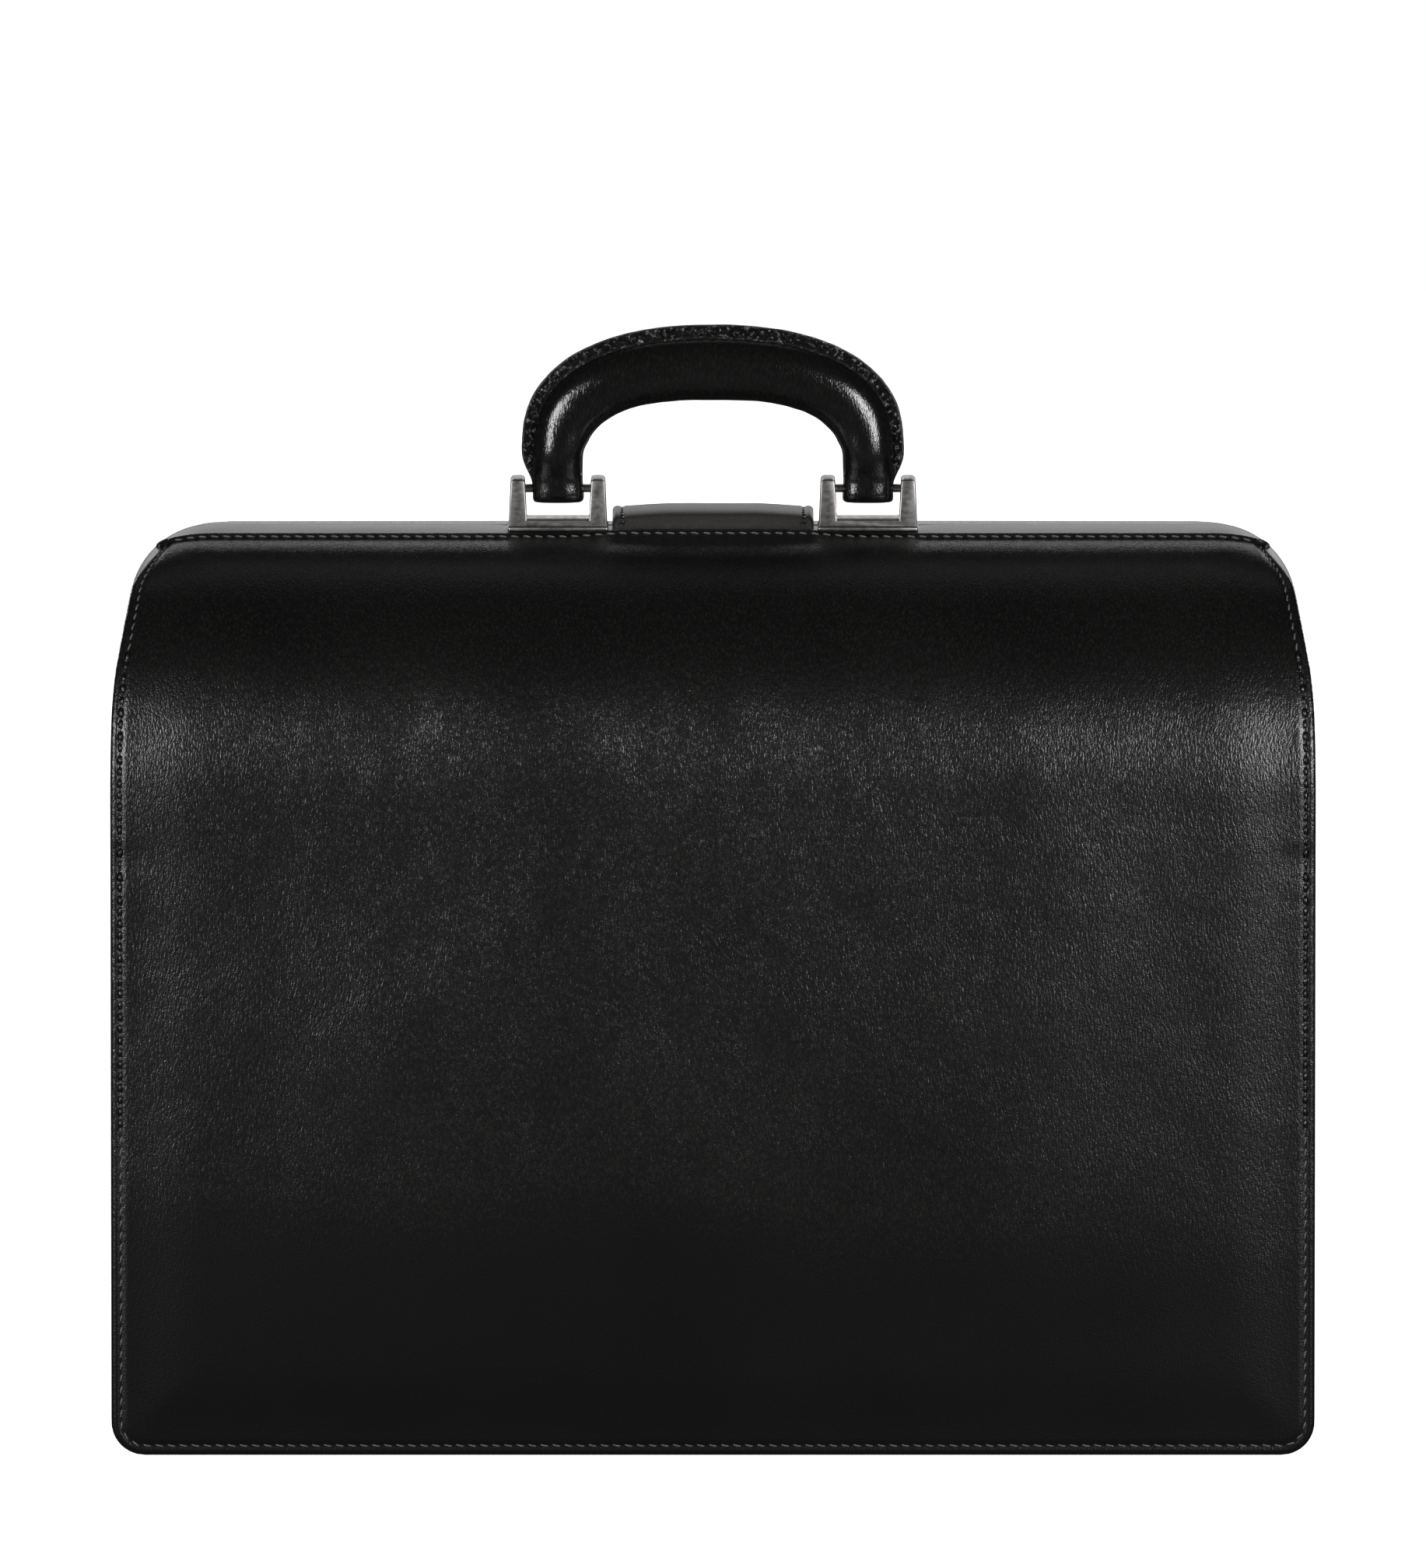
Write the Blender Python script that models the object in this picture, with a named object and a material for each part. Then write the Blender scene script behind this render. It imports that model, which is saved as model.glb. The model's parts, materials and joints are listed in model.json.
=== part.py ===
"""Doctor bag: a leather bag hung on a hinged two-half steel frame, with a top handle and a lock strap.

Blender 4.5, metres, +Z up. The origin is on the floor, at the centre of the space the bag takes up
with its lock. X runs along the bag's length, -Y is its back and +Y its lock side. Lengths below are
in millimetres, with y measured from the plane midway between the two panels: finish() and
axis_empty() move each mesh to the origin and scale it by MM.
"""

import math

import bmesh
import bpy
from mathutils import Vector

MM = 0.001
GAP = 0.3  # clearance between neighbouring pieces

# Body
HALF_WIDTH = 215.0
HALF_DEPTH = 90.0
SEAM_HEIGHT = 321.3  # where a panel's top edge meets the frame
SHOULDER_BASE = 241.3  # a panel is upright below this height and curves in above it
PANEL = 3.0  # leather with its facing
CORNER_RADIUS = 12.0
LOWER_PANEL_TOP = 256.0
FLANGE = 2.7  # thickness of the gusset's edge where it is turned out against a panel
GUSSET = 3.0
GUSSET_INSET = 8.5  # how far the gusset lies inside the panel's outline
LOWER_GUSSET_TOP = 243.0
LINING = 1.2
INNER_TOP = 199.0  # lining and stiffeners end here, below the shoulders of the open bag

# Frame: two U-shaped halves on one pin at each side
HINGE_HEIGHT = 250.0
COVER_TOP = 322.4
COVER = 2.3
BAR = 2.0
FRAME_RADIUS = 30.0
HALF_FRAME = 17.0  # depth of one half of the frame
ARM_END = 262.0
EYE_RADIUS = 6.0
FRONT_BAR_X = 205.5  # the front half's arms lie inside the back half's
BACK_BAR_X = 208.0
HINGE_PIN = 1.5

# Handle brackets
BRACKET_X = 55.5
BRACKET_Y = -9.5
BRACKET_BASE = COVER_TOP + GAP
BRACKET_TOP = 341.5
BLIND_DEPTH = 1.2  # metal left over the end of each stud
BRACKET_WIDTH = 34.0
BRACKET_DEPTH = 12.4
LEG = 5.8
BASE_PLATE = (36.0, 14.5, 2.0)
HANDLE_PIN_HEIGHT = 337.5
STUD_SHIFT = 5.5  # half the distance between a bracket's two studs

# Handle
GRIP_HALF_SPAN = 57.2
GRIP_START = 347.6
GRIP_CROWN = 380.2
GRIP_RADIUS = (10.8, 9.4)  # across the arch's plane, and along Y
RIM_REACH = 16.4
CORE_RADIUS = 4.0
LOOP_WIDTH = 18.0

# Strap and lock
STRAP_HALF_WIDTH = 36.0
STRAP = 4.2
STRAP_CLEARANCE = 1.8
STRAP_JOINT_ANGLE = math.radians(54.0)
STRAP_SPLIT = math.radians(0.5)
STRAP_END = 232.0
TONGUE_HALF_WIDTH = 15.0
TONGUE_END = 214.0
STUD_HEIGHT = 199.0
CASE_HALF_WIDTH = 20.0
CASE_WALL = 1.5
CASE_FRONT = 104.0
CASE_BACK = 92.0
CASE_BOTTOM, CASE_TOP = 186.0, 229.0
BUTTON_HEIGHT = 213.5
BUTTON_TRAVEL = 3.0
BUTTON_REACH = 2.0  # the button is the bag's foremost point

ORIGIN_Y = (CASE_FRONT + BUTTON_REACH - HALF_DEPTH) / 2.0

LEATHER = ("black_leather", (0.013, 0.012, 0.012), 0.34, 0.0)
TOP_LEATHER = ("frame_leather", (0.035, 0.035, 0.036), 0.45, 0.0)
NICKEL = ("satin_nickel", (0.42, 0.40, 0.38), 0.28, 1.0)
STEEL = ("frame_steel", (0.30, 0.30, 0.31), 0.4, 1.0)
BOARD = ("fibre_board", (0.16, 0.10, 0.06), 0.8, 0.0)
CLOTH = ("lining_cloth", (0.09, 0.085, 0.08), 0.9, 0.0)
CORE = ("core_felt", (0.12, 0.11, 0.10), 0.9, 0.0)


def material(look):
    name, colour, roughness, metallic = look
    found = bpy.data.materials.get(name)
    if found:
        return found
    made = bpy.data.materials.new(name)
    made.use_nodes = True
    shader = made.node_tree.nodes["Principled BSDF"]
    shader.inputs["Base Color"].default_value = (*colour, 1.0)
    shader.inputs["Roughness"].default_value = roughness
    shader.inputs["Metallic"].default_value = metallic
    made.diffuse_color = (*colour, 1.0)
    return made


def axis_empty(name, y, z, parent=None):
    """An empty on a hinge line that runs along X."""
    empty = bpy.data.objects.new(name, None)
    bpy.context.collection.objects.link(empty)
    empty.empty_display_size = 0.02
    base = Vector(parent["place"]) if parent else Vector((0.0, ORIGIN_Y, 0.0))
    empty.parent = parent
    empty.location = (Vector((0.0, y, z)) - base) * MM
    empty["place"] = (0.0, y, z)
    return empty


def finish(name, bm, look, parent=None, smooth=False):
    """Turns a bmesh in bag millimetres into an object, with its origin on its parent's hinge line."""
    origin = Vector(parent["place"]) if parent else Vector((0.0, ORIGIN_Y, 0.0))
    bmesh.ops.recalc_face_normals(bm, faces=bm.faces)
    for vert in bm.verts:
        vert.co = (vert.co - origin) * MM
    mesh = bpy.data.meshes.new(name)
    bm.to_mesh(mesh)
    bm.free()
    if smooth:
        mesh.shade_smooth()
        mesh.set_sharp_from_angle(angle=math.radians(35.0))
    mesh.materials.append(material(look))
    obj = bpy.data.objects.new(name, mesh)
    bpy.context.collection.objects.link(obj)
    obj.parent = parent
    return obj


def prism(name, outline, axis, low, high, look, parent=None):
    """A flat outline pushed along one axis. The outline's two values are the other two axes in order."""
    bm = bmesh.new()
    rows = []
    for level in (low, high):
        row = []
        for first, second in outline:
            place = [first, second]
            place.insert(axis, level)
            row.append(bm.verts.new(place))
        rows.append(row)
    bm.faces.new(rows[0])
    bm.faces.new(rows[1])
    count = len(outline)
    for i in range(count):
        j = (i + 1) % count
        bm.faces.new((rows[0][i], rows[0][j], rows[1][j], rows[1][i]))
    return finish(name, bm, look, parent)


def box(name, low, high, look, parent=None):
    outline = [(low[0], low[1]), (high[0], low[1]), (high[0], high[1]), (low[0], high[1])]
    return prism(name, outline, 2, low[2], high[2], look, parent)


def turned(name, profile, centre, axis, look, parent=None, steps=20):
    """A profile of (place along the axis, radius) pairs turned about an axis through the centre."""
    bm = bmesh.new()
    across = [i for i in range(3) if i != axis]
    rings = []
    for along, radius in profile:
        ring = []
        for step in range(steps):
            turn = 2.0 * math.pi * step / steps
            place = list(centre)
            place[axis] += along
            place[across[0]] += radius * math.cos(turn)
            place[across[1]] += radius * math.sin(turn)
            ring.append(bm.verts.new(place))
        rings.append(ring)
    skin(bm, rings)
    return finish(name, bm, look, parent, smooth=True)


def skin(bm, rings):
    """Joins rings of equal length into one closed skin with flat ends."""
    count = len(rings[0])
    for near, far in zip(rings, rings[1:]):
        for i in range(count):
            j = (i + 1) % count
            bm.faces.new((near[i], near[j], far[j], far[i]))
    bm.faces.new(rings[0])
    bm.faces.new(rings[-1])


def combine(obj, other, operation):
    """A Boolean with a hidden helper object."""
    other.hide_render = True
    other.display_type = "WIRE"
    modifier = obj.modifiers.new(operation.title(), "BOOLEAN")
    modifier.operation = operation
    modifier.solver = "EXACT"
    modifier.object = other
    return obj


def cut(obj, other):
    return combine(obj, other, "DIFFERENCE")


def join(obj, other):
    return combine(obj, other, "UNION")


def arc(centre, radius, start, end, steps):
    """Points on an arc, angles in degrees."""
    points = []
    for step in range(steps + 1):
        turn = math.radians(start + (end - start) * step / steps)
        points.append((centre[0] + radius * math.cos(turn), centre[1] + radius * math.sin(turn)))
    return points


def shoulder(turn, offset=0.0):
    """(|y|, z) on the panel's curved upper part. Turn 0 is upright and pi/2 is the top seam."""
    depth = HALF_DEPTH - HALF_FRAME
    rise = SEAM_HEIGHT - SHOULDER_BASE
    normal = Vector((math.cos(turn) / depth, math.sin(turn) / rise)).normalized()
    return (
        HALF_FRAME + depth * math.cos(turn) + offset * normal.x,
        SHOULDER_BASE + rise * math.sin(turn) + offset * normal.y,
    )


def shoulder_run(start, end, steps, offset=0.0):
    return [shoulder(start + (end - start) * i / steps, offset) for i in range(steps + 1)]


# Lower bag


def lower_panel(name, side):
    """The upright part of a panel, with rounded lower corners. Side is -1 for the back, 1 for the front."""
    outline = [(-HALF_WIDTH, LOWER_PANEL_TOP)]
    inner = HALF_WIDTH - CORNER_RADIUS
    outline += arc((-inner, CORNER_RADIUS), CORNER_RADIUS, 180.0, 270.0, 8)
    outline += arc((inner, CORNER_RADIUS), CORNER_RADIUS, 270.0, 360.0, 8)
    outline.append((HALF_WIDTH, LOWER_PANEL_TOP))
    low, high = sorted((side * (HALF_DEPTH - PANEL), side * HALF_DEPTH))
    return prism(name, outline, 1, low, high, LEATHER)


def gusset(name, path):
    """A channel swept along a path of (x, z, inward x, inward z): a wall with its edges turned out."""
    edge = HALF_DEPTH - PANEL - GAP
    wall = GUSSET_INSET + GUSSET
    inner = edge - FLANGE
    profile = [(0.0, -edge), (wall, -edge), (wall, edge), (0.0, edge)]
    profile += [(0.0, inner), (GUSSET_INSET, inner), (GUSSET_INSET, -inner), (0.0, -inner)]
    bm = bmesh.new()
    rings = []
    for x, z, inward_x, inward_z in path:
        rings.append(
            [bm.verts.new((x + inward_x * depth, y, z + inward_z * depth)) for depth, y in profile]
        )
    skin(bm, rings)
    return finish(name, bm, LEATHER)


def side_gusset(name, side):
    inner = HALF_WIDTH - CORNER_RADIUS
    path = [(side * (inner - 2.0), 0.0, 0.0, 1.0)]
    steps = 6
    for step in range(steps + 1):
        turn = math.radians(90.0 * step / steps)
        out_x, out_z = side * math.sin(turn), -math.cos(turn)
        x = side * inner + CORNER_RADIUS * out_x
        z = CORNER_RADIUS + CORNER_RADIUS * out_z
        path.append((x, z, -out_x, -out_z))
    path.append((side * HALF_WIDTH, LOWER_GUSSET_TOP, -side, 0.0))
    return gusset(name, path)


def lower_bag():
    lower_panel("back_panel_lower", -1)
    lower_panel("front_panel_lower", 1)
    side_gusset("left_gusset", -1)
    side_gusset("right_gusset", 1)
    reach = HALF_WIDTH - CORNER_RADIUS - 2.0 - GAP
    gusset("base_gusset", [(-reach, 0.0, 0.0, 1.0), (reach, 0.0, 0.0, 1.0)])

    floor = GUSSET_INSET + GUSSET + GAP
    inside = HALF_DEPTH - PANEL - GAP
    board_x = 198.0
    board_top = floor + 3.0
    box("base_board", (-board_x, -82.5, floor), (board_x, 82.5, board_top), BOARD)
    for name, side in (("back_stiffener", -1), ("front_stiffener", 1)):
        low, high = sorted((side * (inside - 2.4), side * inside))
        box(name, (-board_x, low, floor), (board_x, high, INNER_TOP), BOARD)

    lining_x, lining_y = 199.2, inside - 2.4 - GAP
    lining_floor = board_top + GAP
    lining = box(
        "lining", (-lining_x, -lining_y, lining_floor), (lining_x, lining_y, INNER_TOP), CLOTH
    )
    hollow = box(
        "lining_hollow",
        (LINING - lining_x, LINING - lining_y, lining_floor + LINING),
        (lining_x - LINING, lining_y - LINING, INNER_TOP + 5.0),
        CLOTH,
    )
    cut(lining, hollow)


# Frame


def frame_path(half_width, top, radius):
    """The outline of a U-shaped frame from its left arm over the top to its right arm."""
    path = [(-half_width, ARM_END)]
    path += arc((radius - half_width, top - radius), radius, 180.0, 90.0, 8)
    path += arc((half_width - radius, top - radius), radius, 90.0, 0.0, 8)
    path.append((half_width, ARM_END))
    return path


def frame_band(name, half_width, top, thickness, low, high, look, parent):
    """A flat strip bent round the frame's outline, lying between two values of y."""
    outer = frame_path(half_width, top, FRAME_RADIUS)
    inner = frame_path(half_width - thickness, top - thickness, FRAME_RADIUS - thickness)
    bm = bmesh.new()
    rings = []
    for (outer_x, outer_z), (inner_x, inner_z) in zip(outer, inner):
        corners = [(outer_x, low, outer_z), (outer_x, high, outer_z)]
        corners += [(inner_x, high, inner_z), (inner_x, low, inner_z)]
        rings.append([bm.verts.new(place) for place in corners])
    skin(bm, rings)
    return finish(name, bm, look, parent)


def eye(name, side, half, low, high, parent):
    """The flat tab at the foot of a frame arm, centred on the hinge pin."""
    z = HINGE_HEIGHT
    outline = [(2.5, ARM_END + 4.0), (14.5, ARM_END + 4.0), (14.5, ARM_END), (EYE_RADIUS, z)]
    outline += arc((0.0, z), EYE_RADIUS, 0.0, -180.0, 10)[1:]
    outline = [(half * y, height) for y, height in outline]
    first, second = sorted((side * low, side * high))
    return prism(name, outline, 0, first, second, STEEL, parent)


def frame_half(prefix, half, bar_x, parent):
    """Half is -1 for the back half and 1 for the front half."""
    bar_top = COVER_TOP - COVER - GAP
    low, high = sorted((half * 2.0, half * 15.0))
    bar = frame_band(f"{prefix}_frame_bar", bar_x, bar_top, BAR, low, high, STEEL, parent)
    for side in (-1, 1):
        word = "left" if side < 0 else "right"
        tab = eye(f"{prefix}_{word}_eye", side, half, bar_x - BAR + 0.1, bar_x - 0.1, parent)
        join(bar, tab)
        hole = [(-4.0, HINGE_PIN + GAP), (4.0, HINGE_PIN + GAP)]
        centre = (side * (bar_x - BAR / 2.0), 0.0, HINGE_HEIGHT)
        cut(bar, turned(f"{prefix}_{word}_eye_hole", hole, centre, 0, STEEL, parent))
        upper_gusset(f"{prefix}_{word}_gusset_upper", side, half, parent)
    cover_x = bar_x + GAP + COVER
    low, high = sorted((half * 0.5, half * HALF_FRAME))
    cover = frame_band(
        f"{prefix}_frame_cover", cover_x, COVER_TOP, COVER, low, high, TOP_LEATHER, parent
    )
    upper_panel(f"{prefix}_panel_upper", half, parent)
    return bar, cover


def upper_panel(name, half, parent):
    """The shoulder of a panel, from the frame down to where it tucks inside the upright part."""
    start, end = math.radians(26.0), math.radians(90.0)
    outer = shoulder_run(start, end, 12)
    inner = shoulder_run(start, end, 12, -PANEL)
    outline = outer + inner[::-1]
    outline = [(half * max(y, HALF_FRAME + GAP), z) for y, z in outline]
    reach = FRONT_BAR_X - BAR - 2.0 * GAP - GUSSET
    prism(name, outline, 0, -reach, reach, LEATHER, parent)


def upper_gusset(name, side, half, parent):
    """The ear of gusset leather between a frame arm and the shoulder of its panel."""
    edge = HALF_FRAME + GAP
    outline = [(3.0, 260.0), (3.0, 276.0), (edge, 281.0)]
    outline += shoulder_run(math.radians(88.0), math.radians(26.0), 10, -1.0)
    outline = [(half * y, z) for y, z in outline]
    outer = FRONT_BAR_X - BAR - GAP
    low, high = sorted((side * (outer - GUSSET), side * outer))
    prism(name, outline, 0, low, high, LEATHER, parent)


def hinge_pins():
    inner = FRONT_BAR_X - BAR - GAP
    outer = BACK_BAR_X + GAP
    profile = [(inner - 2.0, 4.0), (inner, 4.0), (inner, HINGE_PIN), (outer, HINGE_PIN)]
    profile += [(outer, 4.0), (outer + 1.5, 4.0)]
    for name, side in (("hinge_pin_left", -1), ("hinge_pin_right", 1)):
        placed = [(side * along, radius) for along, radius in profile]
        turned(name, placed, (0.0, 0.0, HINGE_HEIGHT), 0, STEEL)


# Handle and its brackets


def bracket(name, side, parent):
    """A U-shaped bracket on a base plate, open upwards, with a pin hole through both legs."""
    x, y = side * BRACKET_X, BRACKET_Y
    half = BRACKET_WIDTH / 2.0
    inner = half - LEG
    low = BRACKET_BASE + 1.0
    floor = BRACKET_BASE + BASE_PLATE[2] + 2.2
    radius = 2.4
    outline = [(x - half, low), (x + half, low)]
    outline += arc((x + half - radius, BRACKET_TOP - radius), radius, 0.0, 90.0, 4)
    outline += [(x + inner, BRACKET_TOP), (x + inner, floor), (x - inner, floor)]
    outline.append((x - inner, BRACKET_TOP))
    outline += arc((x - half + radius, BRACKET_TOP - radius), radius, 90.0, 180.0, 4)
    reach = BRACKET_DEPTH / 2.0
    body = prism(name, outline, 1, y - reach, y + reach, NICKEL, parent)
    wide, deep, thick = BASE_PLATE
    plate = box(
        f"{name}_plate",
        (x - wide / 2.0, y - deep / 2.0, BRACKET_BASE),
        (x + wide / 2.0, y + deep / 2.0, BRACKET_BASE + thick),
        NICKEL,
        parent,
    )
    join(body, plate)
    hole = [(-20.0, HINGE_PIN + GAP), (20.0, HINGE_PIN + GAP)]
    cut(body, turned(f"{name}_hole", hole, (x, y, HANDLE_PIN_HEIGHT), 0, NICKEL, parent))
    return body


def rivet(name, x, pieces, backing, parent):
    """A stud from inside a bracket's floor down through cover, bar and backing plate."""
    top = BRACKET_BASE + BASE_PLATE[2] + 2.2 - BLIND_DEPTH
    bottom = COVER_TOP - COVER - BAR - 3.0 * GAP - 2.0
    profile = [(bottom - 1.5, 2.6), (bottom - GAP, 2.6), (bottom - GAP, HINGE_PIN), (top, HINGE_PIN)]
    turned(name, profile, (x, BRACKET_Y, 0.0), 2, NICKEL, parent, steps=14)
    hole = [(bottom - 4.0, HINGE_PIN + GAP), (top + GAP, HINGE_PIN + GAP)]
    for piece in (*pieces, backing):
        helper = turned(
            f"{name}_{piece.name}_hole", hole, (x, BRACKET_Y, 0.0), 2, NICKEL, parent, steps=14
        )
        cut(piece, helper)


def brackets(bar, cover, parent):
    plate_top = COVER_TOP - COVER - BAR - 2.0 * GAP
    for word, side in (("left", -1), ("right", 1)):
        x = side * BRACKET_X
        body = bracket(f"bracket_{word}", side, parent)
        backing = box(
            f"backing_plate_{word}",
            (x - 17.0, BRACKET_Y - 5.0, plate_top - GAP - 2.0),
            (x + 17.0, BRACKET_Y + 5.0, plate_top - GAP),
            STEEL,
            parent,
        )
        for order, shift in (("outer", 1), ("inner", -1)):
            rivet_x = x + side * shift * STUD_SHIFT
            rivet(f"bracket_rivet_{word}_{order}", rivet_x, (body, bar, cover), backing, parent)
        reach = BRACKET_WIDTH / 2.0 - 1.0
        pin = [(-reach, HINGE_PIN), (reach, HINGE_PIN)]
        turned(f"handle_pin_{word}", pin, (x, BRACKET_Y, HANDLE_PIN_HEIGHT), 0, NICKEL, parent)


def grip_path(steps):
    """Centre points of the handle, from its left foot over the crown to its right foot."""
    power = 2.0 / 2.5
    points = []
    for step in range(steps + 1):
        turn = math.pi * (1.0 - step / steps)
        x = math.copysign(abs(math.cos(turn)) ** power, math.cos(turn)) * GRIP_HALF_SPAN
        rise = max(math.sin(turn), 0.0) ** power
        points.append(Vector((x, GRIP_START + (GRIP_CROWN - GRIP_START) * rise)))
    return points


def grip_rings(bm, profile_at, steps=28):
    """Rings of a section swept along the handle. The section's values are outward and along Y."""
    path = grip_path(steps)
    rings = []
    for i, point in enumerate(path):
        ahead = path[min(i + 1, steps)] - path[max(i - 1, 0)]
        if i in (0, steps):
            ahead = Vector((0.0, 1.0 if i == 0 else -1.0))
        ahead.normalize()
        outward = Vector((-ahead.y, ahead.x))
        share = i / steps
        ring = []
        for out, along in profile_at(share):
            place = point + outward * out
            ring.append(bm.verts.new((place.x, BRACKET_Y + along, place.y)))
        rings.append(ring)
    return rings


def grip_section(share):
    """A padded round section with a flat sewn rim on its outer side, fading out at both feet."""
    swell = min(1.0, 0.72 + 1.4 * min(share, 1.0 - share))
    rim = min(1.0, 5.0 * min(share, 1.0 - share))
    wide, deep = GRIP_RADIUS[0] * swell, GRIP_RADIUS[1] * swell
    section = []
    for angle in range(20, 341, 20):
        turn = math.radians(angle)
        section.append((wide * math.cos(turn), deep * math.sin(turn)))
    reach = wide + (RIM_REACH - GRIP_RADIUS[0]) * rim
    section += [(reach, -2.0), (reach, 2.0)]
    return section


def bored_tube(name, section_at, bore, look, parent):
    """A bent tube with an open round bore. Each bore point lies straight inside its outer point."""
    bm = bmesh.new()
    outer = grip_rings(bm, section_at)
    inner = grip_rings(bm, lambda share: [shrunk(place, bore) for place in section_at(share)])
    count = len(outer[0])
    for i in range(count):
        j = (i + 1) % count
        for near, far in zip(outer, outer[1:]):
            bm.faces.new((near[i], near[j], far[j], far[i]))
        for near, far in zip(inner, inner[1:]):
            bm.faces.new((near[j], near[i], far[i], far[j]))
        bm.faces.new((outer[0][j], outer[0][i], inner[0][i], inner[0][j]))
        bm.faces.new((outer[-1][i], outer[-1][j], inner[-1][j], inner[-1][i]))
    return finish(name, bm, look, parent, smooth=True)


def shrunk(place, radius):
    """The point at this distance from the section's centre, in the same direction."""
    distance = math.hypot(*place)
    return (place[0] * radius / distance, place[1] * radius / distance)


def round_section(radius, sides=10):
    points = [2.0 * math.pi * i / sides for i in range(sides)]
    return [(radius * math.cos(turn), radius * math.sin(turn)) for turn in points]


def handle(parent):
    bored_tube("handle_grip", grip_section, CORE_RADIUS + GAP + 0.2, LEATHER, parent)
    bm = bmesh.new()
    skin(bm, grip_rings(bm, lambda share: round_section(CORE_RADIUS)))
    finish("handle_core", bm, CORE, parent, smooth=True)
    for word, side in (("left", -1), ("right", 1)):
        middle = side * (BRACKET_X + 0.4)
        half = LOOP_WIDTH / 2.0
        outline = arc((BRACKET_Y, HANDLE_PIN_HEIGHT), 5.2, 180.0, 360.0, 10)
        outline += [(BRACKET_Y + 6.0, GRIP_START - GAP), (BRACKET_Y - 6.0, GRIP_START - GAP)]
        loop = prism(
            f"handle_loop_{word}", outline, 0, middle - half, middle + half, LEATHER, parent
        )
        hole = [(-12.0, HINGE_PIN + GAP), (12.0, HINGE_PIN + GAP)]
        centre = (middle, BRACKET_Y, HANDLE_PIN_HEIGHT)
        cut(loop, turned(f"handle_loop_{word}_hole", hole, centre, 0, LEATHER, parent))


# Strap and lock


def strap_top(parent):
    """The strap from the back edge of the frame over its top to the front shoulder."""
    tail = -HALF_FRAME + 0.5
    crest = COVER_TOP + 2.6
    low = [(tail, COVER_TOP + 0.6), (-9.0, crest - 0.6), (0.0, crest), (9.0, crest - 0.3)]
    run = shoulder_run(math.radians(80.0), STRAP_JOINT_ANGLE + STRAP_SPLIT, 6, STRAP_CLEARANCE)
    high = [(tail, COVER_TOP + 0.6 + STRAP), (-9.0, crest - 0.6 + STRAP), (0.0, crest + STRAP)]
    high.append((10.0, crest - 0.3 + STRAP))
    reach = STRAP_CLEARANCE + STRAP
    top_run = shoulder_run(math.radians(80.0), STRAP_JOINT_ANGLE + STRAP_SPLIT, 6, reach)
    outline = low + run + (high + top_run)[::-1]
    prism("strap_top", outline, 0, -STRAP_HALF_WIDTH, STRAP_HALF_WIDTH, LEATHER, parent)


def strap_flap(parent):
    """The hanging end of the strap, narrowed to a tongue inside the lock case."""
    start = STRAP_JOINT_ANGLE - STRAP_SPLIT
    near = HALF_DEPTH + STRAP_CLEARANCE
    far = near + STRAP
    run = shoulder_run(start, 0.0, 9, STRAP_CLEARANCE)
    back = shoulder_run(start, 0.0, 9, STRAP_CLEARANCE + STRAP)
    outline = run + [(near, STRAP_END), (far, STRAP_END)] + back[::-1]
    body = prism("strap_flap", outline, 0, -STRAP_HALF_WIDTH, STRAP_HALF_WIDTH, LEATHER, parent)
    tongue = box(
        "strap_tongue",
        (-TONGUE_HALF_WIDTH, near + 0.1, TONGUE_END),
        (TONGUE_HALF_WIDTH, far - 0.1, STRAP_END + 4.0),
        LEATHER,
        parent,
    )
    return join(body, tongue)


def lock(parent, flap):
    side_x = CASE_HALF_WIDTH
    case = box(
        "lock_case", (-side_x, CASE_BACK, CASE_BOTTOM), (side_x, CASE_FRONT, CASE_TOP), NICKEL, parent
    )
    inner_x = CASE_HALF_WIDTH - CASE_WALL
    hollow = box(
        "lock_case_hollow",
        (-inner_x, CASE_BACK - 5.0, CASE_BOTTOM - 5.0),
        (inner_x, CASE_FRONT - CASE_WALL, CASE_TOP + 5.0),
        NICKEL,
        parent,
    )
    cut(case, hollow)
    wall_hole = [(-6.0, 5.0 + GAP), (6.0, 5.0 + GAP)]
    centre = (0.0, CASE_FRONT, STUD_HEIGHT)
    cut(case, turned("lock_cylinder_hole", wall_hole, centre, 1, NICKEL, parent))
    slot = box(
        "lock_button_slot",
        (-5.0 - GAP, CASE_FRONT - 5.0, BUTTON_HEIGHT - 3.0 - GAP),
        (5.0 + BUTTON_TRAVEL + GAP, CASE_FRONT + 5.0, BUTTON_HEIGHT + 3.0 + GAP),
        NICKEL,
        parent,
    )
    cut(case, slot)
    for word, x in (("left", -11.0), ("right", 11.0)):
        place = (x, 0.0, 223.0)
        shank = [(HALF_DEPTH + 0.6, 2.4), (HALF_DEPTH + 1.5, 2.4), (HALF_DEPTH + 1.5, HINGE_PIN)]
        shank += [(CASE_FRONT + GAP, HINGE_PIN), (CASE_FRONT + GAP, 2.8), (CASE_FRONT + 1.5, 2.2)]
        turned(f"lock_rivet_{word}", shank, place, 1, NICKEL, parent, steps=14)
        bore = [(HALF_DEPTH - 3.0, HINGE_PIN + GAP), (CASE_FRONT + 6.0, HINGE_PIN + GAP)]
        for piece in (case, flap):
            helper = turned(
                f"lock_rivet_{word}_{piece.name}_hole", bore, place, 1, NICKEL, parent, steps=14
            )
            cut(piece, helper)


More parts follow.
